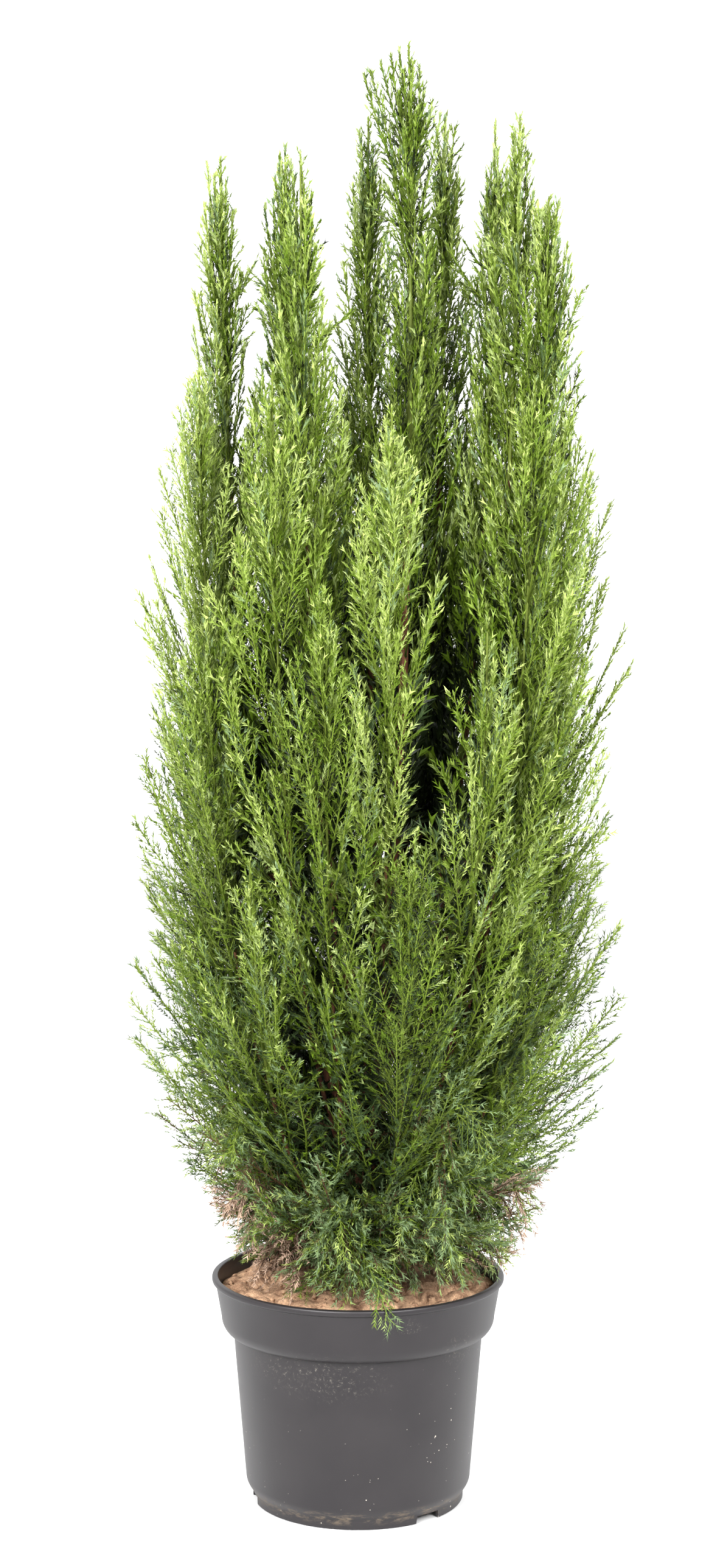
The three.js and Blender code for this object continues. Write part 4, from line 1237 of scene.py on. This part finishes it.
def revolve(profile, segments):
    """Points and triangles of a profile turned about the upright axis. Its ends lie on the axis."""
    turns = turns_round(segments)
    round_ring = np.stack([np.cos(turns), np.sin(turns)], axis=1)
    rings = np.concatenate([
        profile[1:-1, None, :1] * round_ring,
        np.broadcast_to(profile[1:-1, None, 1:], (len(profile) - 2, segments, 1))], axis=2).reshape(-1, 3)
    poles = np.array([(0, 0, profile[0][1]), (0, 0, profile[-1][1])])
    here = np.arange(segments)
    onward = (here + 1) % segments
    last = len(rings) - segments
    foot = np.stack([np.full(segments, len(rings)), onward, here], axis=1)
    head = np.stack([np.full(segments, len(rings) + 1), last + here, last + onward], axis=1)
    triangles = np.concatenate([ring_triangles(len(profile) - 2, segments), foot, head])
    return np.concatenate([rings, poles]), triangles


def prism(outline, low, high):
    """Points and triangles of a flat outline drawn out between two heights."""
    ring = np.asarray(outline, dtype=float)
    points = np.concatenate([np.column_stack([ring, np.full(len(ring), z)]) for z in (low, high)])
    return points, tube_triangles(1, 2, len(ring))


def turned(points, degrees):
    """Points turned about the upright axis."""
    c, s = math.cos(math.radians(degrees)), math.sin(math.radians(degrees))
    return points @ np.array([[c, s, 0], [-s, c, 0], [0, 0, 1]])


def pot_cutters():
    """The bodies that cut the notches in the foot ring and the drain holes in the channel. Those for the
    holes reach past the channel's floor on both sides."""
    slot = [(-NOTCH_WIDTH / 2 - NOTCH_FLARE, -FOOT_HEIGHT), (NOTCH_WIDTH / 2 + NOTCH_FLARE, -FOOT_HEIGHT),
            (NOTCH_WIDTH / 2, NOTCH_HEIGHT), (-NOTCH_WIDTH / 2, NOTCH_HEIGHT)]
    points, triangles = prism(slot, -NOTCH_DEPTH / 2, NOTCH_DEPTH / 2)
    points = np.column_stack([points[:, 0], -points[:, 2] - FOOT_RADIUS, points[:, 1]])
    cutters = [(turned(points, NOTCH_TURN + 360 / NOTCHES * i), triangles) for i in range(NOTCHES)]
    turns = turns_round(DRAIN_SIDES)
    hole = np.column_stack([DRAIN_CIRCLE + DRAIN_RADIUS * np.cos(turns), DRAIN_RADIUS * np.sin(turns)])
    points, triangles = prism(hole, FOOT_HEIGHT - 2 * FLOOR, FOOT_HEIGHT + 3 * FLOOR)
    cutters += [(turned(points, 360 / DRAINS * i), triangles) for i in range(DRAINS)]
    return cutters


def add_pot():
    """The moulded pot, with its foot ring, notches, drain holes, band and rolled lip."""
    lip_foot = POT_HEIGHT - LIP_HEIGHT
    floor = FOOT_HEIGHT + FLOOR
    corners = [
        (0, 0, 0),
        (PAD_RADIUS, 0, EDGE_ROUND),
        (PAD_RADIUS + PAD_FLANK, FOOT_HEIGHT, EDGE_ROUND),
        (FOOT_RADIUS - FOOT_WALL, FOOT_HEIGHT, EDGE_ROUND),
        (FOOT_RADIUS - FOOT_WALL, 0, EDGE_ROUND),
        (FOOT_RADIUS, 0, EDGE_ROUND),
        (FOOT_RADIUS, FOOT_HEIGHT, EDGE_ROUND),
        (BODY_FOOT_RADIUS, BODY_FOOT_Z, BODY_FOOT_ROUND),
        *shoulder(0),
        (BAND_TOP_RADIUS, lip_foot, BAND_TOP_ROUND),
        (LIP_RADIUS, lip_foot + LIP_ROUND, EDGE_ROUND),
        (LIP_RADIUS, POT_HEIGHT, LIP_ROUND),
        (LIP_RADIUS - LIP_WIDTH, POT_HEIGHT, EDGE_ROUND),
        (BAND_TOP_RADIUS - POT_WALL, lip_foot, EDGE_ROUND),
        *shoulder(POT_WALL)[::-1],
        (BODY_FOOT_RADIUS - POT_WALL, BODY_FOOT_Z, EDGE_ROUND),
        (FOOT_RADIUS - POT_WALL, floor, EDGE_ROUND),
        (PAD_RADIUS + PAD_FLANK, floor, EDGE_ROUND),
        (PAD_RADIUS - POT_WALL, FLOOR, EDGE_ROUND),
        (0, FLOOR, 0),
    ]
    pot = add_piece("pot_shell", *revolve(rounded(corners), POT_SEGMENTS), [pot_plastic()])
    cutters = pot_cutters()
    firsts = np.cumsum([0] + [len(points) for points, _ in cutters])
    points = np.concatenate([points for points, _ in cutters])
    triangles = np.concatenate([faces + first for (_, faces), first in zip(cutters, firsts)])
    cutter = add_piece("pot_cutter", points, triangles, [])
    cut = pot.modifiers.new("holes", "BOOLEAN")
    cut.operation = "DIFFERENCE"
    cut.solver = "EXACT"
    cut.object = cutter
    cut_mesh = bpy.data.meshes.new_from_object(pot.evaluated_get(bpy.context.evaluated_depsgraph_get()))
    pot.modifiers.clear()
    pot.data = cut_mesh
    bpy.data.objects.remove(cutter)
    cut_mesh.set_sharp_from_angle(angle=math.radians(POT_SHARP_ANGLE))
    place_piece(pot, ["pot"])


# Soil

def soil_share(reach, edge_radius):
    """How far points lie on the way from the mound's edge to the trunk's seat, from 0 to 1."""
    return np.clip((edge_radius - reach) / (edge_radius - SOIL_SEAT_RADIUS), 0, 1)


def soil_height(share, angle):
    """Height of the solid's mound at shares of the way from its edge to the trunk's seat."""
    mound = SOIL_EDGE_Z + (SOIL_CROWN_Z - SOIL_EDGE_Z) * np.sin(0.5 * math.pi * share)
    lumps = sum(size * np.sin(count * angle + turn + drift * share)
                for count, turn, drift, size in SOIL_WAVES)
    return mound + SOIL_LUMP * lumps * np.sin(math.pi * share)


def clod_height(points, rng, edge_radius):
    """Height of clods above or below the mound: domes that meet in cracks, with finer lumps on them."""
    reach = edge_radius * np.sqrt(rng.random(SOIL_CLODS))
    turn = 2 * math.pi * rng.random(SOIL_CLODS)
    centres = np.column_stack([reach * np.cos(turn), reach * np.sin(turn)])
    lift = rng.uniform(SOIL_CLOD_LEAST, 1, SOIL_CLODS)
    gaps = np.linalg.norm(points[:, None, :2] - centres[None], axis=2)
    nearest = np.sort(gaps, axis=1)[:, :2]
    crack = np.clip((nearest[:, 1] - nearest[:, 0]) / SOIL_CRACK, 0, 1)
    dome = lift[np.argmin(gaps, axis=1)] * np.clip(1 - (nearest[:, 0] / SOIL_CLOD_SIZE) ** 2, 0, 1)
    fine = sum(height * value_noise(points, size, seed) for size, height, seed in SOIL_FINE_LUMPS)
    return SOIL_CLOD_HEIGHT * (dome * crack - SOIL_CLOD_SINK) + fine


def soil_crumbs(rng, edge_radius):
    """Loose crumbs on the mound: small lumpy balls, partly sunk."""
    rings, sides = SOIL_CRUMB_RINGS, SOIL_CRUMB_SIDES
    polar = (np.arange(rings) + 0.5) * math.pi / rings
    turn = turns_round(sides)
    ball = np.stack([np.sin(polar)[:, None] * np.cos(turn), np.sin(polar)[:, None] * np.sin(turn),
                     -np.cos(polar)[:, None] * np.ones(sides)], axis=-1)
    reach = edge_radius * np.sqrt(rng.uniform(*SOIL_CRUMB_AREA, SOIL_CRUMBS))
    angle = 2 * math.pi * rng.random(SOIL_CRUMBS)
    least, most = SOIL_CRUMB_SIZES
    size = least + (most - least) * rng.uniform(0, 1, SOIL_CRUMBS) ** 2
    height = soil_height(soil_share(reach, edge_radius), angle) + SOIL_CRUMB_RISE * size
    centre = np.column_stack([reach * np.cos(angle), reach * np.sin(angle), height])
    lumps = 1 + SOIL_CRUMB_LUMP * rng.normal(size=(SOIL_CRUMBS, rings, sides, 1))
    points = centre[:, None, None, :] + ball[None] * lumps * size[:, None, None, None] * SOIL_CRUMB_FORM
    return points.reshape(-1, 3), tube_triangles(SOIL_CRUMBS, rings, sides)


def add_soil():
    """The soil: a cracked and crumbling mound that fills the pot, closed below along the pot's inner wall."""
    rng = np.random.default_rng(SOIL_SEED)
    slope = (BAND_TOP_RADIUS - BAND_FOOT_RADIUS) / (POT_HEIGHT - LIP_HEIGHT - BAND_FOOT_Z)
    edge_radius = BAND_FOOT_RADIUS - POT_WALL - GAP + slope * (SOIL_EDGE_Z - BAND_FOOT_Z)
    wall = POT_WALL + GAP
    floor = FOOT_HEIGHT + FLOOR + GAP
    below = [(0, FLOOR + GAP), (PAD_RADIUS - POT_WALL, FLOOR + GAP), (PAD_RADIUS + PAD_FLANK, floor),
             (FOOT_RADIUS - wall, floor), (BODY_FOOT_RADIUS - wall, BODY_FOOT_Z),
             *[(radius, z) for radius, z, _ in shoulder(wall)]]
    top = [(radius, SOIL_EDGE_Z) for radius in np.linspace(edge_radius, 0, SOIL_RINGS)]
    points, triangles = revolve(np.array(below + top), SOIL_SEGMENTS)
    first = (len(below) - 1) * SOIL_SEGMENTS
    upper = np.append(np.arange(first, (len(below) + len(top) - 2) * SOIL_SEGMENTS), len(points) - 1)
    reach = np.linalg.norm(points[upper, :2], axis=1)
    angle = np.arctan2(points[upper, 1], points[upper, 0])
    rise = soil_height(soil_share(reach, edge_radius), angle)
    calm = np.clip((edge_radius - reach) / SOIL_CALM_WIDTH, SOIL_CALM_LEAST, 1)
    points[upper, 2] = rise + calm * clod_height(points[upper], rng, edge_radius)
    crumbs, crumb_triangles = soil_crumbs(rng, edge_radius)
    triangles = np.concatenate([triangles, crumb_triangles + len(points)])
    piece = add_piece("soil_mound", np.concatenate([points, crumbs]), triangles, [dry_loam()])
    place_piece(piece, ["soil"])


# Studio

def stand_up(name, data, place, turn):
    """Puts a camera or a light in the scene, at a place in millimetres and turned as given."""
    holder = bpy.data.objects.new(name, data)
    holder.location = [length * MM for length in place]
    holder.rotation_euler = turn
    bpy.context.collection.objects.link(holder)
    return holder


def add_camera():
    """The camera in front of the plant, level across and pointing a little down."""
    camera = bpy.data.cameras.new("camera")
    camera.lens = CAMERA_LENS
    camera.sensor_width = CAMERA_SENSOR
    turn = (math.radians(90 - CAMERA_PITCH), 0, 0)
    bpy.context.scene.camera = stand_up("camera", camera, CAMERA_PLACE, turn)


def add_light(name, place, power):
    """A large soft square light that points at the crown. Its power is in watts."""
    light = bpy.data.lights.new(name, "AREA")
    light.size = LIGHT_SIZE * MM
    light.energy = power
    light.spread = math.radians(LIGHT_SPREAD)
    stand_up(name, light, place, (Vector(LIGHT_TARGET) - Vector(place)).to_track_quat("-Z", "Y").to_euler())


def add_studio():
    """A white room, darker towards the front, with a large soft light at each side and a pale floor."""
    scene = bpy.context.scene
    scene.view_settings.view_transform = "Standard"
    world = bpy.data.worlds.new("white_room")
    world.use_nodes = True
    tree = world.node_tree
    way = add_node(tree, "TexCoord").outputs["Generated"]
    depth = add_node(tree, "SeparateXYZ", links={0: way}).outputs["Y"]
    brightness = {"From Min": -1, "To Min": ROOM_FRONT, "To Max": ROOM_BACK}
    background = tree.nodes["Background"]
    background.inputs["Color"].default_value = linear("#ffffff")
    link_inputs(tree, background, {"Strength": add_node(tree, "MapRange", brightness, {0: depth})})
    scene.world = world
    for name, place, power in LIGHTS:
        add_light(name, place, power)

    # Paper, rolled and uncoated, is matt, so it takes the plant's soft shadow and shows no gloss
    paper, _, _ = new_material("paper_backdrop_matt", {"Base Color": linear("#fafafa"), "Roughness": 0.9})
    sides = ((-1, -1), (1, -1), (1, 1), (-1, 1))
    corners = [(x * STAGE_REACH, y * STAGE_REACH, STAGE_Z) for x, y in sides]
    floor = add_piece("floor", corners, [(0, 1, 2), (0, 2, 3)], [paper], smooth=False)


# The plant in its pot

def build():
    """Grows the plant from the trunk outwards, then makes the pot and fills it."""
    add_camera()
    add_studio()
    bark = cypress_bark()
    trunk = trunk_curve()
    plumes = leader_plumes(trunk) + ring_plumes(trunk)
    rng = np.random.default_rng(TWIG_SEED)
    sprays = all_sprays(plumes, rng)
    shape_shoots(sprays, plumes, rng)
    branchlets = grow_branchlets(sprays, plumes, rng)
    parts = shoot_parts(sprays)
    twigs = {key: np.concatenate([branchlets[key], parts[key]]) for key in branchlets}
    state, tone = needle_tones(twigs, sprays, plumes, rng)
    add_needles(twigs, state, tone, sprays, plumes, rng)
    add_twigs(branchlets, sprays, state, rng)
    add_stems(plumes, bark)
    add_trunk(trunk, bark)
    add_boughs(plumes, bark)
    add_pot()
    add_soil()


build()
